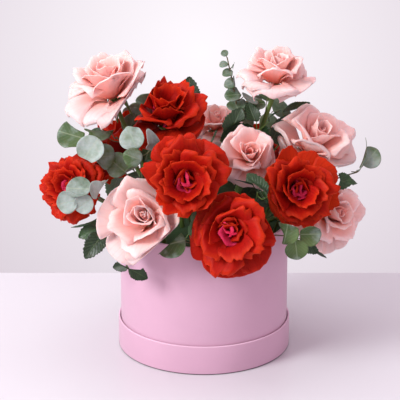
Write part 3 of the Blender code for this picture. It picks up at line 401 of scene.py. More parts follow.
# The roses: sixteen open garden roses in red and pink, packed against each other and over the rim. Each bloom is
# a spiral of petals on its hip, those in the bud wrapped, the outer ones flared or reflexed, all 0.45 mm thick.
# Where two blooms meet, or one meets the rim, the petals are pressed back from the plane between them.
BLOOM_SIZE = 0.050
FACE_TO_ROOT = 0.42
ROOT_TO_HEART = 0.25
TURN_OF_SPIRAL = 137.5
RED, PINK = "red_petal", "pink_petal"


def unit(v):
    return v / np.linalg.norm(v)


class Bloom:
    """One rose: the middle of its open face, where it faces, its size when spread, and how its petals stand.

    inner counts the petals of its closed heart. outer gives each later petal as its turn in degrees, its age up
    to 1 for fully reflexed, its length and its width.
    """

    def __init__(self, name, petal, middle, facing, size, opened, ruffle, loose, seed, foot, inner, outer):
        self.name, self.petal, self.size, self.seed, self.foot = name, petal, size, seed, foot
        self.opened, self.ruffle, self.loose = opened, ruffle, loose
        self.inner, self.outer = inner, outer
        self.axis = unit(np.array(facing, float))
        self.root = np.array(middle, float) - FACE_TO_ROOT * size * self.axis
        self.heart = self.root + ROOT_TO_HEART * size * self.axis
        self.side = unit(np.cross((0.0, 0.0, 1.0), self.axis))
        self.up = np.cross(self.axis, self.side)
        self.walls = []


def spiral(count, start, wide):
    """Outer petals in a plain spiral, for a bloom that shows nothing unusual."""
    return [(start + TURN_OF_SPIRAL * i, 0.80 + 0.20 * i / (count - 1), 0.95, wide) for i in range(count)]


BLOOMS = [
    Bloom("rose_red_left", RED, (-0.159, -0.040, 0.214), (-0.58, -0.68, 0.45), 0.043, 1.00, 0.16, 0.9, 11,
          (-0.080, -0.012), 26,
          [(203, 1.0, 1.0, 0.8), (37, 0.85, 0.95, 0.8), (233, 1.0, 0.95, 0.8), (148, 0.92, 1.0, 0.8),
           (279, 0.95, 0.85, 0.9), (180, 0.97, 1.05, 0.8), (325, 0.9, 0.9, 0.8), (112, 0.88, 0.92, 0.8)]),
    Bloom("rose_red_upper", RED, (-0.045, -0.014, 0.302), (0.03, -0.28, 0.96), 0.057, 1.10, 0.12, 0.3, 23,
          (-0.026, 0.004), 22,
          [(80, 0.82, 0.78, 1.0), (130, 0.85, 0.90, 1.0), (25, 0.92, 1.08, 0.85), (172, 0.93, 1.02, 0.9),
           (310, 0.97, 0.82, 1.0), (345, 1.0, 1.05, 0.85), (268, 0.98, 0.74, 1.2), (208, 1.0, 1.06, 0.95)]),
    Bloom("rose_red_front", RED, (-0.021, -0.104, 0.245), (0.02, -0.93, 0.37), 0.054, 0.95, 0.13, 0.6, 34,
          (-0.014, -0.036), 22,
          [(83, 0.85, 0.90, 1.0), (122, 0.90, 0.96, 0.9), (31, 0.93, 1.0, 1.0), (207, 0.93, 0.86, 1.0),
           (295, 0.95, 0.72, 1.1), (173, 0.97, 0.92, 0.9), (245, 0.98, 0.78, 1.1), (353, 1.0, 1.03, 0.9)]),
    Bloom("rose_red_low", RED, (0.029, -0.124, 0.191), (-0.10, -0.95, 0.30), 0.056, 0.95, 0.16, 1.0, 45,
          (0.024, -0.076), 18,
          [(30, 0.82, 0.86, 0.9), (100, 0.84, 0.82, 1.1), (352, 0.92, 1.03, 0.9), (145, 0.90, 0.98, 1.1),
           (188, 0.95, 1.04, 1.1), (313, 0.95, 0.96, 1.0), (240, 1.0, 1.03, 1.25), (284, 1.0, 0.97, 1.15)]),
    Bloom("rose_red_right", RED, (0.110, -0.078, 0.224), (0.22, -0.90, 0.38), 0.051, 1.00, 0.16, 1.0, 56,
          (0.062, -0.034), 24,
          [(64, 0.85, 1.0, 0.8), (26, 0.85, 1.03, 0.8), (101, 0.90, 0.97, 0.8), (343, 0.9, 1.02, 0.8),
           (175, 0.93, 0.86, 1.1), (300, 1.0, 0.96, 0.9), (132, 0.95, 0.90, 0.9), (222, 1.0, 0.80, 1.2)]),
    Bloom("rose_pink_tall_left", PINK, (-0.112, 0.006, 0.331), (-0.24, -0.14, 0.96), 0.060, 1.15, 0.07, 0.5,
          61, (-0.046, 0.022), 18,
          [(112, 0.82, 0.80, 1.1), (190, 0.86, 1.08, 1.1), (64, 0.90, 0.82, 1.0), (238, 0.93, 0.92, 1.1),
           (14, 0.95, 1.02, 1.1), (288, 1.0, 0.80, 1.1), (336, 0.98, 0.98, 1.0)]),
    Bloom("rose_pink_tall_right", PINK, (0.086, 0.008, 0.344), (0.10, -0.06, 0.99), 0.047, 0.95, 0.05, 0.0,
          72, (0.030, 0.032), 14,
          [(60, 0.74, 0.84, 1.2), (350, 0.80, 0.90, 1.1), (121, 0.88, 0.90, 1.1), (262, 0.90, 0.88, 1.2),
           (301, 0.98, 1.02, 1.0), (166, 1.0, 0.98, 1.0), (214, 0.98, 1.0, 1.3)]),
    Bloom("rose_pink_right", PINK, (0.133, -0.006, 0.264), (0.40, -0.34, 0.85), 0.058, 1.10, 0.06, 0.2, 83,
          (0.060, 0.012), 14,
          [(60, 0.74, 0.98, 1.2), (10, 0.82, 1.05, 1.1), (140, 0.85, 1.08, 1.3), (328, 0.93, 1.08, 1.1),
           (178, 0.95, 1.08, 1.1), (228, 0.98, 0.95, 1.2), (285, 1.0, 1.05, 1.1)]),
    Bloom("rose_pink_middle", PINK, (0.054, -0.046, 0.256), (0.06, -0.74, 0.67), 0.044, 0.90, 0.09, 0.7, 94,
          (0.028, -0.014), 10,
          [(98, 0.72, 0.85, 1.1), (50, 0.78, 0.80, 1.1), (140, 0.85, 1.0, 1.1), (10, 0.85, 0.90, 1.2),
           (200, 0.90, 0.80, 1.2), (320, 0.95, 0.85, 1.2), (262, 1.0, 0.85, 1.3)]),
    Bloom("rose_pink_inner", PINK, (0.014, 0.034, 0.271), (0.10, -0.30, 0.95), 0.036, 0.90, 0.07, 0.4, 15,
          (0.004, 0.028), 12, spiral(6, 40, 1.1)),
    Bloom("rose_pink_front", PINK, (-0.068, -0.112, 0.203), (-0.18, -0.80, 0.58), 0.058, 1.05, 0.06, 0.1, 26,
          (-0.048, -0.062), 16,
          [(119, 0.80, 0.88, 1.1), (47, 0.84, 0.85, 1.1), (172, 0.82, 1.12, 1.35), (2, 0.93, 1.12, 1.2),
           (215, 0.98, 1.02, 0.9), (318, 0.96, 0.86, 1.4), (262, 1.0, 0.84, 1.2)]),
    Bloom("rose_pink_low_right", PINK, (0.154, -0.046, 0.183), (0.68, -0.66, 0.30), 0.050, 0.95, 0.09, 0.7,
          37, (0.078, -0.008), 14,
          [(126, 0.80, 1.0, 1.0), (50, 0.84, 0.90, 1.1), (358, 0.90, 1.03, 1.0), (331, 0.95, 1.0, 1.0),
           (300, 0.98, 0.96, 1.1), (208, 1.0, 0.92, 1.1), (250, 1.0, 0.9, 1.1)]),
    Bloom("rose_red_back_left", RED, (-0.106, 0.076, 0.230), (-0.56, 0.66, 0.50), 0.050, 1.00, 0.14, 0.7, 48,
          (-0.058, 0.048), 22, spiral(7, 0, 1.0)),
    Bloom("rose_pink_back", PINK, (-0.024, 0.118, 0.206), (-0.12, 0.86, 0.50), 0.052, 1.00, 0.07, 0.4, 59,
          (-0.016, 0.074), 16, spiral(7, 20, 1.15)),
    Bloom("rose_red_back", RED, (0.068, 0.106, 0.208), (0.34, 0.82, 0.46), 0.050, 0.95, 0.15, 0.9, 60,
          (0.042, 0.066), 22, spiral(7, 50, 1.0)),
    Bloom("rose_pink_back_right", PINK, (0.126, 0.050, 0.196), (0.80, 0.50, 0.36), 0.045, 1.00, 0.07, 0.4, 71,
          (0.076, 0.034), 16, spiral(7, 80, 1.1)),
]

# The first of each pair lies over the second, seen from the front
LIES_OVER = {
    ("rose_red_front", "rose_pink_front"), ("rose_red_front", "rose_red_low"),
    ("rose_pink_front", "rose_red_low"), ("rose_red_front", "rose_red_upper"),
    ("rose_red_right", "rose_pink_low_right"),
    ("rose_red_right", "rose_pink_right"), ("rose_red_front", "rose_pink_middle"),
    ("rose_red_right", "rose_pink_middle"),
}
OVER_TILT = 0.80

# Where a leaf beside it holds a bloom's petals back: the way to the leaf and the distance from the heart
HELD_BACK = {"rose_pink_front": ((0.68, -0.25, -0.69), 0.038)}

# The rounded hull that a bloom fills, as shares of its size, and the room it leaves at each plane it shares
HULL_ASIDE = 1.08
HULL_AHEAD = 0.72
HULL_BEHIND = 0.80
HULL_POWER = 2.6
HULL_EASE = 0.15
ROOM = 0.0020
YIELDS = 0.62


def smooth(low, high, x):
    """0 below low, 1 above high and an even S between them."""
    q = np.clip((x - low) / (high - low), 0.0, 1.0)
    return q * q * (3 - 2 * q)


def mix(a, b, share):
    return a + (b - a) * share


def placed(bloom, local):
    """Points in the bloom's own axes, put where the bloom is."""
    return bloom.root + local @ np.stack([bloom.side, bloom.up, bloom.axis])


def hull_reach(bloom, directions):
    """How far the bloom reaches from its heart if nothing presses on it."""
    ahead = directions @ bloom.axis
    aside = np.sqrt(np.clip(1 - ahead ** 2, 0, 1))
    depth = np.where(ahead > 0, HULL_AHEAD, HULL_BEHIND) * bloom.size
    share = (aside / (HULL_ASIDE * bloom.size)) ** HULL_POWER + (np.abs(ahead) / depth) ** HULL_POWER
    return share ** (-1 / HULL_POWER)


def reach(bloom, directions):
    """hull_reach, cut short by the planes that the bloom shares."""
    limit = hull_reach(bloom, directions)
    for normal, distance in bloom.walls:
        towards = directions @ normal
        limit = np.where(towards > 1e-6, np.minimum(limit, distance / np.maximum(towards, 1e-6)), limit)
    return limit


def find_walls(blooms):
    """Each bloom's planes: one for every neighbour that it would touch, and one for the rim of the box."""
    for a in blooms:
        for b in blooms:
            between = b.heart - a.heart
            gap = np.linalg.norm(between)
            if a is b or gap == 0:
                continue
            towards = between / gap
            mine = hull_reach(a, towards[None])[0]
            theirs = hull_reach(b, -towards[None])[0]
            if gap > mine + theirs + 2 * ROOM:
                continue
            over = ((a.name, b.name) in LIES_OVER) - ((b.name, a.name) in LIES_OVER)
            normal = unit(towards - over * OVER_TILT * unit(a.axis + b.axis))
            depth = gap * (normal @ towards)
            a.walls.append((normal, depth * mine / (mine + theirs) - ROOM))
        flat = np.array((a.heart[0], a.heart[1], 0.0))
        out = np.linalg.norm(flat)
        if out > BOX_RADIUS:
            tip = 0.5 * np.arctan2(a.heart[2] - BOX_TOP, out - BOX_RADIUS)
            normal = -np.cos(tip) * flat / out - np.sin(tip) * np.array((0.0, 0.0, 1.0))
            rim = flat / out * BOX_RADIUS + np.array((0.0, 0.0, BOX_TOP))
        else:
            normal = np.array((0.0, 0.0, -1.0))
            rim = np.array((0.0, 0.0, BOX_TOP))
        a.walls.append((normal, normal @ (rim - a.heart) - ROOM))
        if a.name in HELD_BACK:
            way, distance = HELD_BACK[a.name]
            a.walls.append((unit(np.array(way)), distance))


def pressed(bloom, points):
    """The bloom's points, pressed back behind its planes and inside its hull without folding over."""
    shape = points.shape
    p = points.reshape(-1, 3).copy()
    for _ in range(3):
        for normal, distance in bloom.walls:
            depth = (p - bloom.heart) @ normal
            soft = YIELDS * distance
            give = distance - soft
            held = distance - give * np.exp(-np.maximum(depth - soft, 0) / give)
            p = p + (np.where(depth > soft, held, depth) - depth)[:, None] * normal
    away = p - bloom.heart
    far = np.maximum(np.linalg.norm(away, axis=1), 1e-9)
    direction = away / far[:, None]
    hull = hull_reach(bloom, direction)
    past = far / hull - (1 - HULL_EASE)
    eased = np.where(past > 0, hull * (1 - HULL_EASE * np.exp(-past / HULL_EASE)), far)
    p = bloom.heart + direction * np.minimum(eased, reach(bloom, direction))[:, None]
    return p.reshape(shape)


# In each row: the value at the eye, then what the bud, flaring and reflexed stages add to it
PETAL_STAGES = {
    "length": (0.031, 0.010, 0.007, 0.006),
    "half": (0.010, 0.008, 0.007, 0.003),
    "wrap": (1.0, -0.2, -0.35, -0.25),
    "roll": (0.0, 0.02, 0.20, 0.22),
    "lean_root": (8, 16, 20, 22),
    "lean_mid": (-4, 12, 26, 0),
    "lean_tip": (-26, 32, 50, 0),
}
OPENED_LEANS = {"lean_mid": (0, 0, 14, 36), "lean_tip": (0, 0, 12, 66)}
LOOSE_LEANS = {"lean_root": 10, "lean_mid": 14, "lean_tip": 20}
INNER_AGE = 0.66
PETAL_THICKNESS = 0.00045
PETAL_COLUMNS = 17
PETAL_ROWS = 14
# The ages of the short folded petals in a red rose's eye; the magenta ones are the youngest
FOLDED_AGES = (0.02, 0.18, 0.02, 0.30, 0.02, 0.18, 0.30, 0.02, 0.24)


def petal_settings(bloom):
    """One dict for each petal, inmost first: bud petals stand and wrap, later ones flare, the last reflex."""
    draw = np.random.default_rng(bloom.seed)
    scale = bloom.size / BLOOM_SIZE
    red = bloom.petal == RED
    rows = [(TURN_OF_SPIRAL * i, INNER_AGE * i / (bloom.inner - 1), 1.0, 1.0) for i in range(bloom.inner)]
    petals = []
    for turn, age, long, wide in rows + bloom.outer:
        u = draw.uniform(-1, 1, 12)
        stages = np.array((1.0, smooth(0.0, 0.38, age), smooth(0.25, 0.75, age), smooth(0.6, 1.0, age)))
        flare, reflex = stages[2:]
        value = {key: np.dot(row, stages) for key, row in PETAL_STAGES.items()}
        for key, row in OPENED_LEANS.items():
            value[key] += bloom.opened * np.dot(row, stages)
        for key, lean in LOOSE_LEANS.items():
            value[key] += lean * bloom.loose * (1 - reflex) * (1 + 0.8 * u[10])
        petals.append({
            "azimuth": radians(turn) + 0.16 * u[0],
            "length": scale * long * value["length"] * (1 + 0.06 * u[1]),
            "half": scale * wide * value["half"] * (1 + 0.08 * u[2]),
            "root_radius": scale * mix(0.0010, 0.0075, age),
            "root_height": scale * mix(0.0030, -0.0015, age),
            "lean_root": radians(value["lean_root"] + 5 * u[3]),
            "lean_mid": radians(value["lean_mid"] + 8 * u[4]),
            "lean_tip": radians(value["lean_tip"] + 14 * u[5]),
            "wrap": value["wrap"] + 0.15 * u[11],
            "roll": value["roll"] + 0.05 * u[6],
            "tuck": 0.16 * (1 - 0.5 * reflex) + 0.05 * u[7],
            "ruffle": bloom.ruffle * (0.3 + 0.8 * flare + 0.3 * u[8]),
            "folds": 1.1 + 0.35 * u[9],
            "shoulder": mix(0.20, 0.40, flare),
            "point": mix(0.0, 0.14, flare),
            "phase": 3.1 * u[0] + 2.2 * u[5],
            "age": age,
            # what only the finer petal has: its margin curled back, and its edge frilled
            "lip": radians(mix(20, 90, flare) * (0.75 if red else 1.0) * (1 + 0.35 * u[4])),
            "scroll": radians(mix(10, 120, flare) * (0.8 if red else 1.0) * (1 + 0.4 * u[8])),
            "frill": (0.058 if red else 0.024) * (1 + 0.4 * u[1]),
        })
        if red and len(petals) <= len(FOLDED_AGES):
            folded = len(petals) - 1
            spread = folded / len(FOLDED_AGES)
            petals[-1].update({
                "length": scale * (0.0225 + 0.0040 * spread + 0.0015 * u[1]),
                "half": scale * (0.0115 + 0.0020 * u[2]),
                "lean_root": radians(mix(-6, 22, spread)),
                "lean_mid": radians(mix(0, 40, spread) + 8 * u[4]),
                "lean_tip": radians(mix(24, 66, spread) + 22 * u[5]), "wrap": 0.1 + 0.5 * u[11],
                "roll": -0.35 + 0.45 * u[6], "tuck": 0.9 * u[7], "ruffle": 0.20, "folds": 0.9 + 0.3 * u[9],
                "shoulder": 0.42, "point": 0.0, "azimuth": radians(turn) + 0.5 * u[0],
                "lip": radians(60 + 40 * u[3]), "scroll": radians(40 * u[8]), "frill": 0.018,
                "age": FOLDED_AGES[folded],
            })
    return petals


def running(values, steps):
    """Running integral along the last axis, starting at 0."""
    middle = 0.5 * (values[..., 1:] + values[..., :-1]) * steps
    return np.concatenate([np.zeros((*values.shape[:-1], 1)), np.cumsum(middle, -1)], -1)


def petal_sheet(p, columns, rows):
    """The middle surface of one petal in the bloom's own axes, as rows from root to edge.

    A spine leans out more and more on its way up and curls over at the lip. Across it the sheet wraps round the
    bloom's axis, one edge is tucked under the next petal, and the margin rolls back, frilled and waved.
    """
    q = np.linspace(-1, 1, columns)
    t = (np.sin(1.25 * q) / np.sin(1.25))[None, :]
    v = (1 - (1 - np.linspace(0, 1, rows)) ** 1.35)[:, None]
    out = np.abs(t)
    edge = 1 - p["shoulder"] * out ** 2.4 + p["point"] * np.exp(-(t / 0.24) ** 2)
    notch = np.sin(2.6 * pi * t + p["phase"]) + 0.55 * np.sin(5.7 * pi * t - 2.3 * p["phase"])
    notch = notch + 0.22 * np.sin(12.7 * pi * t + 3.1 * p["phase"])
    edge = edge * (1 + p["frill"] * notch)
    s = v * edge
    half = p["half"] * (0.2 + 0.8 * np.sin(np.clip(s / 0.66, 0, 1) * pi / 2) ** 1.1)
    half = half * (1 - 0.12 * smooth(0.7, 1.0, s))
    lean = p["lean_root"] + (p["lean_mid"] - p["lean_root"]) * smooth(0.0, 0.55, s)
    lean = lean + (p["lean_tip"] - p["lean_mid"]) * smooth(0.5, 1.05, s) ** 1.2
    curled = lean + p["lip"] * smooth(0.80, 1.0, v) ** 1.3
    step = np.diff(s, axis=0).T * p["length"]
    r = p["root_radius"] + running(np.sin(curled).T, step).T
    z = p["root_height"] + running(np.cos(curled).T, step).T
    bend = p["wrap"] / np.maximum(r, 0.004)
    turn = half * t * bend - np.sign(t) * p["scroll"] * smooth(0.60, 1.0, out) ** 1.4 * smooth(0.3, 0.85, v)
    middle = columns // 2
    across = np.diff(t[0])
    sideways = running(np.cos(turn), across) * half
    lift = running(np.sin(turn), across) * half
    sideways, lift = sideways - sideways[:, middle:middle + 1], lift - lift[:, middle:middle + 1]
    lift = lift - p["roll"] * p["half"] * smooth(0.35, 1.0, out) ** 1.3 * smooth(0.25, 0.9, s)
    lift = lift + p["tuck"] * half * t
    wave = 0.7 * np.sin(tau * p["folds"] * t + p["phase"] + 2.0 * v)
    wave = wave + 0.4 * np.sin(1.7 * tau * p["folds"] * t - 1.3 * p["phase"] + 3.0 * v)
    lift = lift + p["ruffle"] * p["half"] * wave * s ** 2 * (0.35 + 0.65 * out)
    along_r = r - lift * np.cos(lean)
    up = z + lift * np.sin(lean)
    c, n = np.cos(p["azimuth"]), np.sin(p["azimuth"])
    sheet = np.stack([along_r * c - sideways * n, along_r * n + sideways * c, up], -1)
    return sheet, np.broadcast_to(t, s.shape), np.broadcast_to(v, s.shape)


def mark_points(mesh, marks):
    """Named numbers for the mesh's points, given in runs that follow each other."""
    for label, runs in marks.items():
        spots = mesh.attributes.new(label, "FLOAT", "POINT")
        spots.data.foreach_set("value", np.concatenate(runs).astype(np.float32))


def sheet_mesh(name, sheets, maps, marks):
    """One mesh of many grid sheets, with a UV map and named numbers at its points."""
    points, faces, uv, start = [], [], [], 0
    for sheet, (across, along) in zip(sheets, maps):
        rows, columns = sheet.shape[:2]
        grid = start + np.arange(rows * columns).reshape(rows, columns)
        corners = np.stack([grid[:-1, :-1], grid[1:, :-1], grid[1:, 1:], grid[:-1, 1:]], -1)
        faces.append(corners.reshape(-1, 4))
        points.append(sheet.reshape(-1, 3))
        uv.append(np.stack([across, along], -1).reshape(-1, 2))
        start += rows * columns
    points, faces, uv = np.concatenate(points), np.concatenate(faces), np.concatenate(uv)
    mesh = bpy.data.meshes.new(name)
    mesh.from_pydata(points.tolist(), [], faces.tolist())
    layer = mesh.uv_layers.new(name="petal")
    layer.data.foreach_set("uv", uv[faces.reshape(-1)].astype(np.float32).reshape(-1))
    mark_points(mesh, marks)
    mesh.shade_smooth()
    return mesh


def made_plain(obj):
    """The object with what its modifiers make as its own mesh, and the modifiers gone."""
    made = bpy.data.meshes.new_from_object(obj.evaluated_get(bpy.context.evaluated_depsgraph_get()))
    obj.modifiers.clear()
    obj.data = made
    made.name = obj.name
    return obj


def thickened(name, mesh, thickness, finishes):
    """The sheets as solid petals or leaves, their back in the second finish."""
    for finish in finishes:
        mesh.materials.append(finish)
    obj = linked_object(name, mesh)
    solid = obj.modifiers.new("thickness", "SOLIDIFY")
    solid.thickness = thickness
    solid.offset = 0.0
    solid.use_even_offset = False
    solid.material_offset = len(finishes) - 1
    return made_plain(obj)


# Veins that fan out from a petal's root
vein_group, given, result = group_with("fan of veins", [
    ("Count", "NodeSocketFloat", 14.0), ("Waver", "NodeSocketFloat", 0.6)],
    [("Vein", "NodeSocketFloat"), ("Along", "NodeSocketFloat")])
flow = add_node(vein_group, "ShaderNodeUVMap", uv_map="petal").outputs[0]
parts = add_node(vein_group, "ShaderNodeSeparateXYZ", {0: flow}).outputs
waver = math_node(vein_group, "MULTIPLY", noise(vein_group, flow, 3.0, 2.0), given["Waver"])
line = math_node(vein_group, "MULTIPLY_ADD", parts["X"], given["Count"], waver)
line = math_node(vein_group, "PINGPONG", line, 1.0)
join_inputs(vein_group, result, {"Vein": ranged(vein_group, line, 0.0, 0.35, 1.0, 0.0), "Along": parts["Y"]})


def ramp(tree, value, stops):
    """A colour ramp through the given (place, colour) stops."""
    node = add_node(tree, "ShaderNodeValToRGB", {"Fac": value})
    elements = node.color_ramp.elements
    while len(elements) < len(stops):
        elements.new(0.5)
    for element, (at, colour) in zip(elements, stops):
        element.position = at
        element.color = colour
    return node.outputs["Color"]


def own_number(tree, name):
    """A number that the mesh carries at each of its points."""
    return add_node(tree, "ShaderNodeAttribute", attribute_name=name).outputs["Fac"]


def petal_material(name, outer, inner, rim, root, vein, blush, sheen, soft, shine):
    """Petal colour from root to rim, deeper and blushed in the heart, veined, and each petal a little apart.
    The deeper heart and petal roots are partly the rose's own colour and partly painted shade.

    A bloom's pale number, from 0 to 1, spreads the rim's colour over its outer petals.
    The lighter rim colour is partly the petals' own lighter edge and partly a painted highlight.
    """
    made, tree, shader = new_material(name, 0.5, Sheen_Weight=sheen, Sheen_Roughness=0.4,
                                      Subsurface_Weight=soft, Subsurface_Scale=0.006,
                                      Subsurface_Radius=(1.0, 0.45, 0.35), Specular_IOR_Level=shine)
    veins = add_node(tree, "ShaderNodeGroup", {"Count": 9.0, "Waver": 1.4}, node_tree=vein_group).outputs
    age = own_number(tree, "age")
    # the inner petals' colour, deeper than the outer ones', is partly their own colour and partly painted shade
    between = tuple(mix(np.array(inner), np.array(outer), 0.6))
    colour = ramp(tree, age, [(0.0, blush), (0.04, blush), (0.16, inner), (0.55, between), (1.0, outer)])
    grown = ranged(tree, age, 0.03, 0.12)
    # the root colour deepens each petal's base: partly its own deeper colour, partly painted shade in the bloom's
    # hollow
    root_tone_and_painted_shade = math_node(tree, "MULTIPLY", ranged(tree, veins["Along"], 0.15, 0.62, 0.85, 0.0), grown)
    colour = blend_colours(tree, root_tone_and_painted_shade, colour, root)
    # the rim colour over edges and outer petals: partly their own lighter colour, partly a painted highlight
    pale = math_node(tree, "MULTIPLY", own_number(tree, "pale"), ranged(tree, age, 0.5, 0.85))
    rim_tone_and_highlight = math_node(tree, "MAXIMUM", ranged(tree, veins["Along"], 0.78, 0.98, 0.0, 0.75), pale)
    colour = blend_colours(tree, math_node(tree, "MULTIPLY", rim_tone_and_highlight, grown), colour, rim)
    colour = blend_colours(tree, math_node(tree, "MULTIPLY", veins["Vein"], 0.22), colour, vein)
    place = object_place(tree)
    mottle = math_node(tree, "ADD", noise(tree, place, 90.0, 4.0), own_number(tree, "own"))
    colour = dimmed(tree, colour, ranged(tree, mottle, 0.4, 1.6, 0.90, 1.06))
    raised = bumped(tree, veins["Vein"], 0.25, 0.0003)
    nap = bumped(tree, noise(tree, place, 1500.0, 2.0), 0.15, 0.0002, over=raised)
    join_inputs(tree, shader, {"Base Color": colour, "Normal": nap})
    return made


# In each finish the inner and root colours are darker partly as painted shade, and the rim colour lighter partly
# as a painted highlight
petal_finish = {
    PINK: petal_material("pink_petal", tint(253, 199, 194), tint(253, 183, 176), tint(253, 212, 208),
                         tint(253, 148, 126), tint(250, 170, 163), tint(253, 166, 158), 0.04, 0.45, 0.15),
    RED: petal_material("red_petal", tint(174, 24, 11), tint(154, 14, 12), tint(198, 46, 14), tint(106, 5, 7),
                        tint(124, 10, 9), tint(206, 44, 82), 0.0, 0.22, 0.08),
}

# How far the rim's colour, partly the petals' own lighter colour and partly a painted highlight, spreads over each
# bloom's outer petals, where it does
RIM_SPREAD_AND_HIGHLIGHT = {"rose_red_right": 0.75, "rose_red_left": 0.35, "rose_red_upper": 0.25, "rose_red_front": 0.2,
        "rose_pink_front": 0.6, "rose_pink_right": 0.6, "rose_pink_tall_left": 0.35,
        "rose_pink_tall_right": 0.25}
find_walls(BLOOMS)
for bloom in BLOOMS:
    sheets, maps, ages, owns, pales = [], [], [], [], []
    for number, petal in enumerate(petal_settings(bloom)):
        sheet, across, along = petal_sheet(petal, PETAL_COLUMNS, PETAL_ROWS)
        sheets.append(pressed(bloom, placed(bloom, sheet)))
        maps.append((across, along))
        ages.append(np.full(across.size, petal["age"]))
        owns.append(np.full(across.size, 0.5 + 0.5 * np.sin(9.7 * number + bloom.seed)))
        pales.append(np.full(across.size, RIM_SPREAD_AND_HIGHLIGHT.get(bloom.name, 0.0)))
    mesh = sheet_mesh(bloom.name + "_petals", sheets, maps, {"age": ages, "own": owns, "pale": pales})
    petals = thickened(bloom.name + "_petals", mesh, PETAL_THICKNESS, [petal_finish[bloom.petal]])
    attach(petals, "root")
    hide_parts(bloom.name)


# The rose stems. Round green stems with a few thorns, which stand in the foam's plain holes and bend out to their
# blooms. Each swells into the hip that carries its bloom, and five narrow sepals hang from the hip's brim.
FOAM_TOP = 0.146
ROSE_STEM = 0.0028
STEM_ROOM = 0.0005
STEM_DEPTH = 0.042
ROSE_RISE = 0.012
NECK_RUN = 0.014
STEM_POINTS = 7
NECK = -0.0130
HIP = [(-0.0118, 0.0031), (-0.0104, 0.0042), (-0.0090, 0.0052), (-0.0062, 0.0063), (-0.0034, 0.0070),
       (-0.0014, 0.0066)]
SEPALS = 5
SEPAL_OUT = 0.0080
SEPAL_DOWN = 0.0180
SEPAL_WIDTH = 0.0056
SEPAL_THICKNESS = 0.0005
THORN_SIZE = 0.0032
THORN_LEAN = -0.35
NEAR_WALL = 0.088
LEAF_ROOM = 0.0010


def clear_of_blooms(points, blooms, room):
    """Points moved straight out of every bloom they lie in."""
    p = points.reshape(-1, 3).copy()
    for bloom in 6 * blooms:
        away = p - bloom.heart
        far = np.maximum(np.linalg.norm(away, axis=1), 1e-9)
        direction = away / far[:, None]
        least = reach(bloom, direction) + room
        p = np.where((far < least)[:, None], bloom.heart + direction * least[:, None], p)
    return p.reshape(points.shape)


def clear_of_box(points, room):
    """Points near the wall moved up over the rim or out past the wall, whichever is nearer."""
    p = points.reshape(-1, 3).copy()
    out = np.hypot(p[:, 0], p[:, 1])
    rise = BOX_TOP + room - p[:, 2]
    past = BOX_RADIUS + room - out
    near_rim = (out > NEAR_WALL) & (rise > 0) & (past > 0)
    lift = near_rim & (rise <= past)
    push = near_rim & (rise > past)
    p[lift, 2] += rise[lift]
    p[push, :2] *= ((out[push] + past[push]) / out[push])[:, None]
    return p.reshape(points.shape)


def cleared(points, blooms, room):
    """Points moved out of the blooms and off the box."""
    for _ in range(3):
        points = clear_of_box(clear_of_blooms(points, blooms, room), room)
    return points


def smooth_curve(knots, count):
    """count points evenly along a smooth curve through the knots."""
    k = np.array(knots, float)
    ends = np.concatenate([[2 * k[0] - k[1]], k, [2 * k[-1] - k[-2]]])
    run = []
    for a, b, c, d in zip(ends, ends[1:], ends[2:], ends[3:]):
        q = np.linspace(0, 1, 24, endpoint=False)[:, None]
        run.append(0.5 * (2 * b + (c - a) * q + (2 * a - 5 * b + 4 * c - d) * q ** 2
                          + (3 * b - a - 3 * c + d) * q ** 3))
    run = np.concatenate(run + [k[-1:]])
    along = np.concatenate([[0], np.cumsum(np.linalg.norm(np.diff(run, axis=0), axis=1))])
    even = np.linspace(0, along[-1], count)
    return np.stack([np.interp(even, along, run[:, i]) for i in range(3)], -1)


def threaded(path, blooms, room, held):
    """A stem's path, eased out of the blooms on its way. The first held points stay where they are."""
    p = path.copy()
    for _ in range(5):
        p[held:] = cleared(p[held:], blooms, room)
        p[held:-1] = 0.5 * p[held:-1] + 0.25 * (p[held - 1:-2] + p[held + 1:])
    p[held:] = cleared(p[held:], blooms, room)
    return p


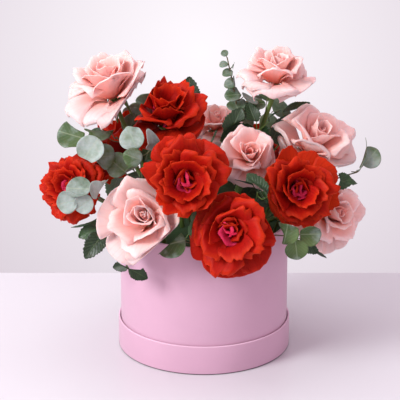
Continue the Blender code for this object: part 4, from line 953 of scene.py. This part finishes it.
def stem_sweep():
    """The node tree that turns drawn lines into round stems, with thorns where they are thorny."""
    tree = bpy.data.node_groups.new("stem sweep", "GeometryNodeTree")
    for label, kind, value in (("Lines", "NodeSocketGeometry", None), ("Sides", "NodeSocketInt", 12),
                               ("Thorn Spacing", "NodeSocketFloat", 0.013),
                               ("Thorn Size", "NodeSocketFloat", 0.0), ("Seed", "NodeSocketInt", 1),
                               ("Finish", "NodeSocketMaterial", None)):
        socket = tree.interface.new_socket(label, in_out="INPUT", socket_type=kind)
        if value is not None:
            socket.default_value = value
    tree.interface.new_socket("Stems", in_out="OUTPUT", socket_type="NodeSocketGeometry")
    given, result = tree.nodes.new("NodeGroupInput").outputs, tree.nodes.new("NodeGroupOutput")
    own_radius, thorny = [add_node(tree, "GeometryNodeInputNamedAttribute", {"Name": label},
                                   data_type="FLOAT").outputs[0] for label in ("own_radius", "thorny")]
    line = add_node(tree, "GeometryNodeMeshToCurve", {"Mesh": given["Lines"]})
    ring = add_node(tree, "GeometryNodeCurvePrimitiveCircle", {"Resolution": given["Sides"], "Radius": 1.0})
    tube = add_node(tree, "GeometryNodeCurveToMesh", {
        "Curve": line.outputs[0], "Profile Curve": ring.outputs[0], "Scale": own_radius, "Fill Caps": True})
    spots = add_node(tree, "GeometryNodeCurveToPoints", {"Curve": line.outputs[0],
                                                         "Length": given["Thorn Spacing"]}, mode="LENGTH")
    turn, size = [add_node(tree, "FunctionNodeRandomValue", {2: least, 3: most, 8: given["Seed"]},
                           data_type="FLOAT").outputs[1] for least, most in ((0.0, tau), (0.5, 1.0))]
    out = add_node(tree, "ShaderNodeVectorRotate", {
        "Vector": spots.outputs["Normal"], "Axis": spots.outputs["Tangent"], "Angle": turn},
        rotation_type="AXIS_ANGLE")
    lean = dimmed(tree, spots.outputs["Tangent"], THORN_LEAN)
    out = add_node(tree, "ShaderNodeVectorMath", {0: out.outputs[0], 1: lean}, operation="ADD")
    stand = add_node(tree, "FunctionNodeAlignRotationToVector", {"Vector": out.outputs[0]}, axis="Z")
    thorn = add_node(tree, "GeometryNodeMeshCone", {"Vertices": 9, "Side Segments": 4, "Radius Top": 0.02,
                                                    "Radius Bottom": 0.36, "Depth": 1.6})
    chosen = add_node(tree, "FunctionNodeCompare", {0: thorny, 1: 0.5}, data_type="FLOAT",
                      operation="GREATER_THAN")
    thorns = add_node(tree, "GeometryNodeInstanceOnPoints", {
        "Points": spots.outputs["Points"], "Selection": chosen.outputs[0], "Instance": thorn.outputs["Mesh"],
        "Rotation": stand.outputs[0], "Scale": math_node(tree, "MULTIPLY", size, given["Thorn Size"])})
    joined = add_node(tree, "GeometryNodeJoinGeometry", {0: tube.outputs[0]})
    tree.links.new(thorns.outputs[0], joined.inputs[0])
    whole = add_node(tree, "GeometryNodeRealizeInstances", {0: joined.outputs[0]})
    soft = add_node(tree, "GeometryNodeSetShadeSmooth", {0: whole.outputs[0]})
    done = add_node(tree, "GeometryNodeSetMaterial", {"Geometry": soft.outputs[0],
                                                      "Material": given["Finish"]})
    tree.links.new(done.outputs[0], result.inputs[0])
    return tree


def line_object(name, lines):
    """Lines of points, each with its radii and whether thorns grow there, as one mesh of edges."""
    mesh = bpy.data.meshes.new(name)
    edges, start = [], 0
    for path, _, _ in lines:
        edges += [(start + i, start + i + 1) for i in range(len(path) - 1)]
        start += len(path)
    mesh.from_pydata(np.concatenate([path for path, _, _ in lines]).tolist(), edges, [])
    mark_points(mesh, {"own_radius": [r for _, r, _ in lines], "thorny": [thorny for _, _, thorny in lines]})
    return linked_object(name, mesh)


def swept(name, lines, finish, inputs):
    """The lines as round stems, in one plain mesh."""
    obj = line_object(name, lines)
    sweep = obj.modifiers.new("stem sweep", "NODES")
    sweep.node_group = sweep_tree
    inputs = {**inputs, "Finish": finish}
    for socket in sweep_tree.interface.items_tree:
        if socket.in_out == "INPUT" and socket.name in inputs:
            sweep[socket.identifier] = inputs[socket.name]
    return made_plain(obj)


def joined_into(base, other):
    """The other object's mesh added to the base's, and that object removed."""
    bm = bmesh.new()
    finishes = []
    for obj in (base, other):
        part = bmesh.new()
        part.from_mesh(obj.data)
        slots = list(obj.data.materials)
        for slot in slots:
            if slot not in finishes:
                finishes.append(slot)
        for face in part.faces:
            face.material_index = finishes.index(slots[min(face.material_index, len(slots) - 1)])
        whole = bpy.data.meshes.new("part")
        part.to_mesh(whole)
        part.free()
        bm.from_mesh(whole)
        bpy.data.meshes.remove(whole)
    mesh = bpy.data.meshes.new(base.name)
    bm.to_mesh(mesh)
    bm.free()
    for slot in finishes:
        mesh.materials.append(slot)
    bpy.data.objects.remove(other)
    base.data = mesh
    return base


def green_material(name, dark, light, pale, roughness, scale):
    """Soft green plant skin, clouded and with small pale specks."""
    made, tree, shader = new_material(name, roughness, Subsurface_Weight=0.08, Subsurface_Scale=0.002,
                                      Specular_IOR_Level=0.4)
    place = object_place(tree)
    colour = blend_colours(tree, noise(tree, place, scale, 4.0), dark, light)
    speck = noise(tree, place, 900.0, 2.0)
    colour = blend_colours(tree, ranged(tree, speck, 0.62, 0.75, 0.0, 0.5), colour, pale)
    join_inputs(tree, shader, {"Base Color": colour, "Normal": bumped(tree, speck, 0.2, 0.0002)})
    return made


sweep_tree = stem_sweep()
stem_finish = green_material("rose_stem_skin", tint(66, 92, 40), tint(102, 126, 60), tint(128, 146, 90), 0.5,
                             60.0)


def sepal_sheet(bloom, turn, rng):
    """One narrow sepal, which leaves the brim outwards and hangs down beside the stem."""
    scale = bloom.size / BLOOM_SIZE
    v = np.linspace(0, 1, 12)[:, None]
    t = np.linspace(-1, 1, 5)[None, :]
    out = HIP[4][1] + SEPAL_OUT * (1 - (1 - v) ** 2) * (1 + 0.1 * rng.uniform(-1, 1))
    height = HIP[4][0] - SEPAL_DOWN * v ** 1.5
    half = 0.5 * SEPAL_WIDTH * (0.75 + 0.9 * v) * (1 - v) ** 0.75 + 0.00015
    aside = half * t
    lift = 0.25 * half * t ** 2 + 0.0008 * np.sin(5 * v + rng.uniform(0, tau)) * v
    r = out - lift + 0 * t
    local = np.stack([r * cos(turn) - aside * sin(turn), r * sin(turn) + aside * cos(turn), height + 0 * t],
                     -1)
    return placed(bloom, scale * local), np.broadcast_to(t, r.shape), np.broadcast_to(v, r.shape)


for bloom in BLOOMS:
    others = [b for b in BLOOMS if b is not bloom]
    scale = bloom.size / BLOOM_SIZE
    neck = pressed(bloom, placed(bloom, np.array([(0, 0, scale * NECK)])))[0]
    foot = np.array((*bloom.foot, FOAM_TOP))
    run = smooth_curve([foot, foot + (0, 0, ROSE_RISE), neck - NECK_RUN * bloom.axis, neck], STEM_POINTS)
    run = threaded(run, others, ROSE_STEM + STEM_ROOM, 2)
    run[-1] = neck
    above = smooth_curve(run, 40)
    hip = pressed(bloom, placed(bloom, np.array([(0, 0, scale * height) for height, _ in HIP])))
    path = np.concatenate([[foot - (0, 0, STEM_DEPTH)], above, hip])
    radii = np.concatenate([np.full(41, ROSE_STEM), [scale * radius for _, radius in HIP]])
    radii[38:41] = np.array((1.0, 1.02, 1.06)) * ROSE_STEM
    thorny = np.concatenate([np.zeros(8), np.ones(28), np.zeros(5 + len(HIP))])
    stem = swept(bloom.name + "_stem_fine", [(path, radii, thorny)], stem_finish,
                 {"Sides": 14, "Thorn Size": THORN_SIZE, "Seed": bloom.seed})
    rng = np.random.default_rng(bloom.seed)
    sheets = [sepal_sheet(bloom, tau * (i + 0.5) / SEPALS, rng) for i in range(SEPALS)]
    mesh = sheet_mesh(bloom.name + "_sepals", [clear_of_box(sheet, LEAF_ROOM) for sheet, _, _ in sheets],
                      [(across, along) for _, across, along in sheets], {})
    stem = joined_into(stem, thickened(bloom.name + "_sepals", mesh, SEPAL_THICKNESS, [stem_finish]))
    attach(stem, "root")
    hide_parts(bloom.name + "_stem")


# The eucalyptus. Ten thin stems with pairs of nearly round, waxy leaves on short stalks and one leaf at the tip,
# tucked between the blooms. Wax makes the upper faces pale and bluish in clouds, and the undersides are green.
SPRAY_STEM = 0.0012
SPRAY_TAPER = 0.6
SPRAY_RISE = 0.010
SPRAY_POINTS = 6
LEAF_BITE = 0.0010
LEAF_MIDDLE = 0.56
JOINT_STEPS = 61
JOINT_BACK = 0.3
LEAF_SHEET = 0.00045
STALK_SHARE = 0.13
STALK_RADIUS = 0.00055


class Spray:
    """A leafy stem from its foot in the foam through via to its tip, with its leaves.

    Each leaf has its middle, its size and the way that its upper face looks. The last one grows at the tip.
    """

    def __init__(self, name, foot, via, leaves):
        self.name, self.foot, self.via, self.leaves = name, foot, via, leaves


# How thick the wax lies on each leaf, from 0 for bare green to 1, where it isn't left to chance
WAX = {
    "eucalyptus_left": (0.1, 0.4, 1.0, 0.2),
    "eucalyptus_left_tall": (0.0, 0.0, 0.1, 0.1, 0.15),
    "eucalyptus_middle": (0.2, 0.15, 1.0, 0.95),
    "eucalyptus_low_left": (0.95, 0.85, 0.45, 1.0, 0.9),
    "eucalyptus_tall": (0.4, 0.3, 0.4, 0.5, 0.4, 0.3, 0.4, 0.3, 0.3, 0.3),
    "eucalyptus_right": (0.3, 0.4, 0.5),
    "eucalyptus_low_right": (0.0, 0.1, 0.0),
    "eucalyptus_front": (0.1,),
}


EUCALYPTUS = [
    Spray("eucalyptus_left", (-0.042, -0.012), [(-0.080, -0.012, 0.205), (-0.104, -0.022, 0.243),
           (-0.130, -0.026, 0.266)],
          [((-0.102, -0.034, 0.238), 0.031, (0.2, -1, 0.2)),
           ((-0.117, -0.038, 0.250), 0.030, (0.5, -1, 0.2)),
           ((-0.132, -0.046, 0.262), 0.034, (-0.2, -1, 0.5)),
           ((-0.156, -0.012, 0.268), 0.036, (-0.2, -0.9, 0.6))]),
    Spray("eucalyptus_left_tall", (-0.034, 0.022), [(-0.072, 0.036, 0.215), (-0.104, 0.020, 0.254)],
          [((-0.066, 0.022, 0.236), 0.034, (0.2, -1, 0.2)), ((-0.060, 0.014, 0.206), 0.034, (0.1, -1, 0.2)),
           ((-0.086, 0.026, 0.268), 0.028, (0.3, -1, 0.3)),
           ((-0.128, 0.028, 0.248), 0.030, (-0.8, -0.2, 0.8)),
           ((-0.121, -0.002, 0.274), 0.033, (0, -1, 0.4))]),
    Spray("eucalyptus_middle", (-0.056, -0.036), [(-0.072, -0.050, 0.215), (-0.080, -0.062, 0.245),
           (-0.074, -0.060, 0.266)],
          [((-0.082, -0.070, 0.240), 0.018, (-0.3, -1, 0.1)), ((-0.082, -0.066, 0.259), 0.024, (0, -1, 0)),
           ((-0.060, -0.064, 0.278), 0.030, (1, -0.45, 0.2)),
           ((-0.083, -0.062, 0.281), 0.030, (-0.3, -1, 0.3))]),
    Spray("eucalyptus_low_left", (-0.072, -0.046), [(-0.098, -0.062, 0.196), (-0.112, -0.088, 0.222),
           (-0.128, -0.100, 0.224)],
          [((-0.113, -0.094, 0.230), 0.021, (0.3, -1, 0.2)),
           ((-0.124, -0.102, 0.232), 0.022, (0.9, -0.8, 0.2)),
           ((-0.144, -0.094, 0.231), 0.031, (-0.1, -0.6, 1)),
           ((-0.138, -0.104, 0.216), 0.024, (0.1, -1, 0.3)),
           ((-0.157, -0.102, 0.217), 0.026, (-0.1, -1, 0.3))]),
    Spray("eucalyptus_tall", (0.016, 0.008), [(0.046, 0.018, 0.262), (0.051, 0.016, 0.290),
           (0.046, 0.016, 0.315), (0.034, 0.016, 0.340), (0.027, 0.016, 0.354)],
          [((0.038, 0.010, 0.297), 0.023, (-0.1, -0.6, 1)), ((0.063, 0.013, 0.298), 0.020, (0.1, -0.6, 1)),
           ((0.034, 0.010, 0.310), 0.021, (-0.1, -0.7, 1)), ((0.057, 0.010, 0.308), 0.021, (0.1, -0.6, 1)),
           ((0.032, 0.012, 0.323), 0.018, (-0.1, -0.5, 1)), ((0.028, 0.012, 0.336), 0.014, (0, -0.5, 1)),
           ((0.048, 0.012, 0.327), 0.015, (0.1, -0.5, 1)), ((0.023, 0.014, 0.346), 0.011, (0, -0.5, 1)),
           ((0.038, 0.014, 0.343), 0.011, (0, -0.5, 1)), ((0.024, 0.016, 0.359), 0.009, (0, -0.8, 0.6))]),
    Spray("eucalyptus_right", (0.086, 0.006), [(0.136, 0.010, 0.205), (0.160, 0.0, 0.224),
           (0.178, -0.006, 0.230)],
          [((0.174, -0.008, 0.238), 0.025, (0.8, -0.7, 0.3)), ((0.184, 0.004, 0.252), 0.012, (0, -1, 0.4)),
           ((0.196, -0.008, 0.238), 0.027, (0.1, -1, 0.3))]),
    Spray("eucalyptus_low_right", (0.060, -0.064), [(0.078, -0.086, 0.174), (0.092, -0.104, 0.184),
           (0.104, -0.108, 0.182)],
          [((0.094, -0.114, 0.184), 0.030, (-0.1, -1, 0.2)),
           ((0.122, -0.108, 0.180), 0.028, (0.3, -0.9, 0.4)),
           ((0.106, -0.116, 0.164), 0.027, (0.1, -1, 0))]),
    Spray("eucalyptus_front", (-0.012, -0.080), [(-0.012, -0.102, 0.170), (-0.018, -0.113, 0.178),
           (-0.024, -0.114, 0.174)],
          [((-0.038, -0.117, 0.172), 0.037, (0, -0.8, 0.6))]),
    Spray("eucalyptus_back_left", (-0.040, 0.050), [(-0.062, 0.084, 0.220), (-0.068, 0.098, 0.252)],
          [((-0.084, 0.094, 0.240), 0.033, (-0.4, 0.9, 0.3)),
           ((-0.046, 0.100, 0.246), 0.033, (0.3, 0.9, 0.3)),
           ((-0.086, 0.100, 0.256), 0.030, (-0.4, 0.9, 0.3)),
           ((-0.052, 0.106, 0.258), 0.030, (0.3, 0.9, 0.4)), ((-0.070, 0.108, 0.270), 0.027, (0, 1, 0.4))]),
    Spray("eucalyptus_back_right", (0.040, 0.038), [(0.060, 0.054, 0.230), (0.074, 0.066, 0.270)],
          [((0.046, 0.064, 0.252), 0.033, (-0.3, 0.8, 0.3)),
           ((0.080, 0.062, 0.254), 0.033, (0.4, 0.8, 0.3)),
           ((0.058, 0.072, 0.276), 0.029, (-0.3, 0.8, 0.3)),
           ((0.092, 0.064, 0.274), 0.029, (0.5, 0.8, 0.3)), ((0.078, 0.072, 0.292), 0.026, (0, 1, 0.4))]),
]


def leaf_joint(run, middle, size, last):
    """Where a leaf leaves its stem: a little below the place nearest to it, or at the tip."""
    if last:
        return run[-1] - LEAF_BITE * unit(run[-1] - run[-2])
    at = np.linspace(0, len(run) - 1, JOINT_STEPS)
    line = np.stack([np.interp(at, np.arange(len(run)), run[:, i]) for i in range(3)], -1)
    nearest = int(np.argmin(np.linalg.norm(line - middle, axis=1)))
    step = np.linalg.norm(line[1] - line[0])
    return line[max(nearest - int(JOINT_BACK * size / step), JOINT_STEPS // 3)]


def leaf_places(spray, shape):
    """The stem's line, its radii, and each leaf's joint, start, end, face and width."""
    foot = np.array((*spray.foot, FOAM_TOP))
    run = smooth_curve([foot, foot + (0, 0, SPRAY_RISE), *spray.via], SPRAY_POINTS)
    run = threaded(run, BLOOMS, SPRAY_STEM + STEM_ROOM, 2)
    leaves = []
    for number, (middle, size, facing) in enumerate(spray.leaves, start=1):
        joint = leaf_joint(run, middle, size, number == len(spray.leaves))
        facing = unit(np.array(facing, float))
        away = np.array(middle) - joint
        way = unit(away - (away @ facing) * facing)
        length = size * shape["length"]
        start = middle - LEAF_MIDDLE * length * way
        leaves.append((joint, start, start + length * way, facing, size * shape["width"]))
    path = np.concatenate([[foot - (0, 0, STEM_DEPTH)], run])
    fine = [path[0]]
    for a, b in zip(path[1:], path[2:]):
        fine += [mix(a, b, q) for q in np.linspace(0, 1, 8, endpoint=False)]
    fine = np.array(fine + [path[-1]])
    for _ in range(6):
        fine[3:-1] = 0.5 * fine[3:-1] + 0.25 * (fine[2:-2] + fine[4:])
    fine[12:] = cleared(fine[12:], BLOOMS, SPRAY_STEM + STEM_ROOM)
    return fine, np.linspace(SPRAY_STEM, SPRAY_TAPER * SPRAY_STEM, len(fine)), leaves


def leaf_frame(start, end, facing):
    """A leaf's length, and its own axes: forward, across and up out of its face."""
    along = end - start
    length = np.linalg.norm(along)
    forward = along / length
    across = unit(np.cross(facing, forward))
    return length, forward, across, np.cross(forward, across)


def round_leaf(start, end, facing, width, rng):
    """A nearly round leaf: a disc of even squares, cupped, its margin a little waved and its tip blunt."""
    length, forward, across, face = leaf_frame(start, end, facing)
    q = np.linspace(-1, 1, 15)
    a, b = np.meshgrid(q, q)
    x, y = a * np.sqrt(1 - b ** 2 / 2), b * np.sqrt(1 - a ** 2 / 2)
    turn, far = np.arctan2(x, y), np.hypot(x, y)
    phase = rng.uniform(0, tau, 4)
    uneven = 1 + 0.025 * np.sin(2 * turn + phase[0]) + 0.018 * np.sin(3 * turn + phase[1])
    tip = 1 + 0.05 * np.exp(-(turn / 0.30) ** 2) * far ** 4
    s = STALK_SHARE + (1 - STALK_SHARE) * (0.5 + 0.5 * y * tip / 1.05)
    aside = 0.5 * width * x * uneven
    droop = SHAPE_ROUND["droop"] * length * s ** 2
    cup = width * (0.115 * x ** 2 + 0.05 * rng.uniform(-1, 1) * x * y + 0.07 * rng.uniform(-0.6, 1) * y ** 2)
    wave = 0.018 * width * far ** 3 * (np.sin(3 * turn + phase[2]) + 0.7 * np.sin(5 * turn + phase[3]))
    crease = -0.012 * width * np.exp(-(x / 0.05) ** 2) * (1 - 0.5 * (y + 1) / 2)
    sheet = (start + (s * length)[..., None] * forward + aside[..., None] * across
             + (cup + wave + crease - droop)[..., None] * face)
    return sheet, x, 0.5 * (y + 1)


def leafy_object(spray, seed, shape, make_leaf, finishes, stem_skin):
    """A spray's stem, stalks and leaves as one mesh."""
    line, radii, leaves = leaf_places(spray, shape)
    rng = np.random.default_rng(seed)
    lines = [(line, radii, np.zeros(len(line)))]
    sheets, maps, owns = [], [], []
    waxed = WAX.get(spray.name, rng.uniform(0, 1, len(leaves)))
    for (joint, start, end, facing, width), own in zip(leaves, waxed):
        sheet, across, along = make_leaf(start, end, facing, width, rng)
        sheet = cleared(sheet, BLOOMS, LEAF_ROOM)
        sheets.append(sheet)
        maps.append((across, along))
        owns.append(np.full(across.size, own))
        root = sheet[0, sheet.shape[1] // 2]
        bow = 0.12 * np.linalg.norm(root - joint) * np.array((0.0, 0.0, -1.0))
        lines.append((smooth_curve([joint, mix(joint, root, 0.5) + bow, mix(joint, root, 1.02)], 9),
                      np.linspace(1.2, 0.85, 9) * STALK_RADIUS, np.zeros(9)))
    mesh = sheet_mesh(spray.name + "_leaves", sheets, maps, {"own": owns})
    made = joined_into(swept(spray.name + "_fine", lines, stem_skin, {"Sides": 8}),
                       thickened(spray.name + "_leaves", mesh, LEAF_SHEET, finishes))
    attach(made, "root")
    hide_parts(spray.name)
    return made


# Veins that leave a midrib in pairs and curve towards the margin, as masks
feather_group, given, result = group_with("feather of veins", [
    ("Pairs", "NodeSocketFloat", 7.0), ("Slant", "NodeSocketFloat", 0.45), ("Width", "NodeSocketFloat", 0.2)],
    [("Side Vein", "NodeSocketFloat"), ("Midrib", "NodeSocketFloat")])
flow = add_node(feather_group, "ShaderNodeUVMap", uv_map="petal").outputs[0]
parts = add_node(feather_group, "ShaderNodeSeparateXYZ", {0: flow}).outputs
aside = math_node(feather_group, "ABSOLUTE", parts["X"])
slant = math_node(feather_group, "MULTIPLY", math_node(feather_group, "POWER", aside, 0.8), given["Slant"])
level = math_node(feather_group, "SUBTRACT", parts["Y"], slant)
drift = add_node(feather_group, "ShaderNodeTexNoise", {"Vector": flow, "Scale": 4.0}).outputs["Fac"]
bent = math_node(feather_group, "MULTIPLY_ADD", drift, 0.10, level)
saw = math_node(feather_group, "PINGPONG", math_node(feather_group, "MULTIPLY", bent, given["Pairs"]), 0.5)
join_inputs(feather_group, result, {"Side Vein": ranged(feather_group, saw, 0.0, given["Width"], 1.0, 0.0),
                                    "Midrib": ranged(feather_group, aside, 0.015, 0.06, 1.0, 0.0)})


def over_veins(tree, colour, veins, rib, side_share, middle_share):
    """The colour with the rib's colour over its veins, and the veins' height."""
    for label, share in (("Side Vein", side_share), ("Midrib", middle_share)):
        colour = blend_colours(tree, math_node(tree, "MULTIPLY", veins[label], share), colour, rib)
    return colour, math_node(tree, "MAXIMUM", veins["Side Vein"], veins["Midrib"])


def waxy_material(name, green, olive, wax, rib, waxed):
    """Blue-green leaf skin under a cloudy coat of pale wax, thicker on some leaves, with a pale midrib."""
    made, tree, shader = new_material(name, 0.62, Subsurface_Weight=0.10, Subsurface_Scale=0.002,
                                      Specular_IOR_Level=0.30, Sheen_Weight=0.12)
    veins = add_node(tree, "ShaderNodeGroup", {"Pairs": 6.0, "Slant": 0.55, "Width": 0.10},
                     node_tree=feather_group).outputs
    place = object_place(tree)
    cloud = ranged(tree, noise(tree, place, 55.0, 3.0, Roughness=0.5), 0.30, 0.70)
    coat = ranged(tree, math_node(tree, "ADD", own_number(tree, "own"), cloud), 0.50, 1.60, 0.0, waxed)
    hue = ranged(tree, noise(tree, place, 13.0, 1.0), 0.38, 0.64)
    colour = blend_colours(tree, coat, blend_colours(tree, hue, green, olive), wax)
    colour, height = over_veins(tree, colour, veins, rib, 0.16, 0.42)
    dust = ranged(tree, noise(tree, place, 240.0, 2.0), 0.40, 0.75, 0.0, 0.35)
    dust = math_node(tree, "MULTIPLY", dust, coat)
    join_inputs(tree, shader, {"Base Color": blend_colours(tree, dust, colour, tint(184, 196, 194)),
                               "Normal": bumped(tree, height, 0.3, 0.0003)})
    return made


SHAPE_ROUND = {"length": 1.12, "width": 1.0, "droop": 0.06}
wax_finish = [
    waxy_material("eucalyptus_face", tint(46, 72, 40), tint(84, 106, 58), tint(150, 164, 158),
                  tint(150, 164, 134), 1.0),
    waxy_material("eucalyptus_back", tint(66, 92, 66), tint(98, 118, 78), tint(124, 142, 126),
                  tint(128, 146, 110), 0.6)]
twig_finish = green_material("eucalyptus_twig", tint(86, 86, 54), tint(108, 104, 72), tint(134, 124, 96), 0.6,
                             80.0)
for number, spray in enumerate(EUCALYPTUS):
    sprig = leafy_object(spray, 101 + number, SHAPE_ROUND, round_leaf, wax_finish, twig_finish)


# The rose leaves. Twelve dark green sprays cut from the roses, each with a leaflet at its tip and most with a pair
# behind it: oval leaflets with a saw-toothed margin, a sunken midrib and blades quilted between their veins.
ROSE_LEAVES = [
    Spray("rose_leaf_upper", (-0.010, 0.022), [(-0.008, 0.048, 0.250), (-0.014, 0.050, 0.276)],
          [((-0.036, 0.052, 0.292), 0.024, (-0.2, -0.9, 0.4)),
           ((-0.018, 0.050, 0.300), 0.030, (0.1, -0.9, 0.4))]),
    Spray("rose_leaf_middle", (0.010, -0.010), [(0.018, -0.008, 0.225), (0.032, -0.006, 0.256)],
          [((0.024, -0.032, 0.214), 0.032, (0.1, -1, 0.2)),
           ((0.010, -0.030, 0.268), 0.025, (-0.2, -1, 0.2)),
           ((0.046, -0.014, 0.262), 0.024, (0.3, -1, 0.3)),
           ((0.036, -0.006, 0.281), 0.029, (-0.2, -1, 0.3))]),
    Spray("rose_leaf_tall_right", (0.050, 0.010), [(0.060, 0.010, 0.232), (0.062, 0.004, 0.272)],
          [((0.060, -0.008, 0.202), 0.036, (0, -1, 0.2)), ((0.082, -0.010, 0.262), 0.028, (0.1, -1, 0.3)),
           ((0.086, -0.002, 0.286), 0.015, (0, -1, 0.5)), ((0.056, 0.0, 0.291), 0.021, (0, -1, 0.5))]),
    Spray("rose_leaf_behind_right", (0.070, 0.024), [(0.098, 0.046, 0.224), (0.110, 0.042, 0.256)],
          [((0.100, 0.030, 0.256), 0.026, (-0.2, -1, 0.4)), ((0.124, 0.046, 0.254), 0.026, (0.6, 0.5, 0.4)),
           ((0.116, 0.036, 0.276), 0.020, (0, -1, 0.6))]),
    Spray("rose_leaf_right", (0.080, -0.028), [(0.126, -0.034, 0.200), (0.150, -0.040, 0.210)],
          [((0.164, -0.046, 0.221), 0.023, (0.3, -1, 0.3))]),
    Spray("rose_leaf_left", (-0.078, -0.030), [(-0.096, -0.046, 0.176), (-0.112, -0.058, 0.176)],
          [((-0.128, -0.074, 0.154), 0.028, (0, -0.7, 0.7)),
           ((-0.132, -0.060, 0.166), 0.025, (0, -0.8, 0.6)),
           ((-0.140, -0.056, 0.180), 0.024, (0, -0.5, 0.9))]),
    Spray("rose_leaf_under_front", (-0.066, -0.052), [(-0.074, -0.066, 0.180), (-0.082, -0.092, 0.166),
           (-0.086, -0.106, 0.148)],
          [((-0.096, -0.106, 0.140), 0.016, (-0.2, -1, 0.4)),
           ((-0.076, -0.110, 0.132), 0.019, (0.1, -1, 0.4))]),
    Spray("rose_leaf_front", (0.004, -0.082), [(0.0, -0.102, 0.170), (-0.002, -0.110, 0.180)],
          [((-0.006, -0.114, 0.192), 0.022, (0, -1, 0.4))]),
    Spray("rose_leaf_low_right", (0.084, -0.022), [(0.106, -0.044, 0.172), (0.118, -0.058, 0.168)],
          [((0.124, -0.084, 0.156), 0.022, (0.2, -1, 0.3)),
           ((0.136, -0.074, 0.150), 0.017, (0.4, -1, 0.3))]),
    Spray("rose_leaf_between", (0.038, -0.050), [(0.050, -0.072, 0.196), (0.056, -0.092, 0.214)],
          [((0.064, -0.056, 0.204), 0.032, (0.1, -1, 0.3)), ((0.046, -0.094, 0.226), 0.018, (0.2, -1, 0.3)),
           ((0.068, -0.100, 0.222), 0.018, (-0.2, -1, 0.3)),
           ((0.060, -0.108, 0.240), 0.026, (0.2, -1, 0.5))]),
    Spray("rose_leaf_back_left", (-0.066, 0.060), [(-0.080, 0.080, 0.174), (-0.094, 0.096, 0.172)],
          [((-0.100, 0.082, 0.172), 0.032, (-0.5, 0.6, 0.6)),
           ((-0.078, 0.106, 0.168), 0.032, (-0.2, 0.9, 0.4)),
           ((-0.110, 0.112, 0.164), 0.034, (-0.5, 0.7, 0.4))]),
    Spray("rose_leaf_back", (0.014, 0.080), [(0.020, 0.098, 0.176), (0.024, 0.120, 0.172)],
          [((0.002, 0.114, 0.172), 0.032, (-0.3, 0.9, 0.4)),
           ((0.046, 0.112, 0.170), 0.032, (0.3, 0.9, 0.4)),
           ((0.028, 0.142, 0.162), 0.034, (0.1, 0.8, 0.5))]),
]
TEETH = 11
OVAL_WIDEST = 0.44
SHAPE_OVAL = {"length": 1.50, "width": 0.85, "droop": 0.14, "fold": 0.20}


def toothed_leaf(start, end, facing, width, rng):
    """An oval leaflet with a pointed tip, its margin cut in forward teeth, folded and quilted along its rib."""
    length, forward, across, face = leaf_frame(start, end, facing)
    rows, columns = 2 * TEETH + 5, 11
    v = np.linspace(0, 1, rows)[:, None]
    t = np.sin(1.3 * np.linspace(-1, 1, columns))[None, :] / np.sin(1.3)
    out = np.abs(t)
    below = v < OVAL_WIDEST
    inwards = np.abs((v - OVAL_WIDEST) / np.where(below, OVAL_WIDEST, 1 - OVAL_WIDEST))
    body = np.maximum(1 - inwards ** np.where(below, 2.2, 1.75), 0)
    half = 0.5 * width * body ** 0.80 + 0.0002
    tooth = (v * TEETH) % 1.0
    saw = 0.10 * width * (tooth - 0.35) * (body > 0.02) * body ** 0.3
    aside = t * half + np.sign(t) * saw * smooth(0.72, 1.0, out)
    s = 0.10 + 0.90 * v + 0.014 * smooth(0.72, 1.0, out) * tooth
    droop = SHAPE_OVAL["droop"] * length * s ** 2 * (1 + 0.3 * rng.uniform(-1, 1))
    fold = SHAPE_OVAL["fold"] * np.abs(aside) ** 1.15 * (0.5 * width) ** -0.15
    quilt = 0.020 * width * np.sin(tau * (v * 8 - 2.6 * out)) * out * (1 - out) * 2.6
    wave = 0.030 * width * out ** 2 * np.sin(tau * (1.6 * v + rng.uniform(0, 1)) + 1.3 * np.sign(t))
    twist = 0.05 * rng.uniform(-1, 1) * aside * v
    sheet = (start + (s * length)[..., None] * forward + aside[..., None] * across
             + (fold + quilt + wave + twist - droop)[..., None] * face)
    return sheet, np.broadcast_to(t, s.shape), np.broadcast_to(v, s.shape)


def leaflet_material(name, dark, light, rib, roughness):
    """Leathery leaf skin, clouded, paler along its sunken veins, and each leaflet a little apart."""
    made, tree, shader = new_material(name, roughness, Subsurface_Weight=0.08, Subsurface_Scale=0.002,
                                      Specular_IOR_Level=0.45)
    veins = add_node(tree, "ShaderNodeGroup", {"Pairs": 8.0, "Slant": 0.34, "Width": 0.16},
                     node_tree=feather_group).outputs
    cloud = noise(tree, object_place(tree), 120.0, 4.0)
    share = ranged(tree, math_node(tree, "ADD", own_number(tree, "own"), cloud), 0.4, 1.6)
    colour, height = over_veins(tree, blend_colours(tree, share, dark, light), veins, rib, 0.20, 0.45)
    join_inputs(tree, shader, {"Base Color": colour,
                               "Normal": bumped(tree, height, 0.6, 0.0004, sunken=True)})
    return made


leaflet_finish = [
    leaflet_material("rose_leaf_face", tint(18, 40, 18), tint(44, 76, 36), tint(86, 112, 66), 0.40),
    leaflet_material("rose_leaf_back", tint(60, 88, 58), tint(82, 108, 78), tint(104, 126, 94), 0.6)]
for number, spray in enumerate(ROSE_LEAVES):
    sprig = leafy_object(spray, 121 + number, SHAPE_OVAL, toothed_leaf, leaflet_finish, stem_finish)
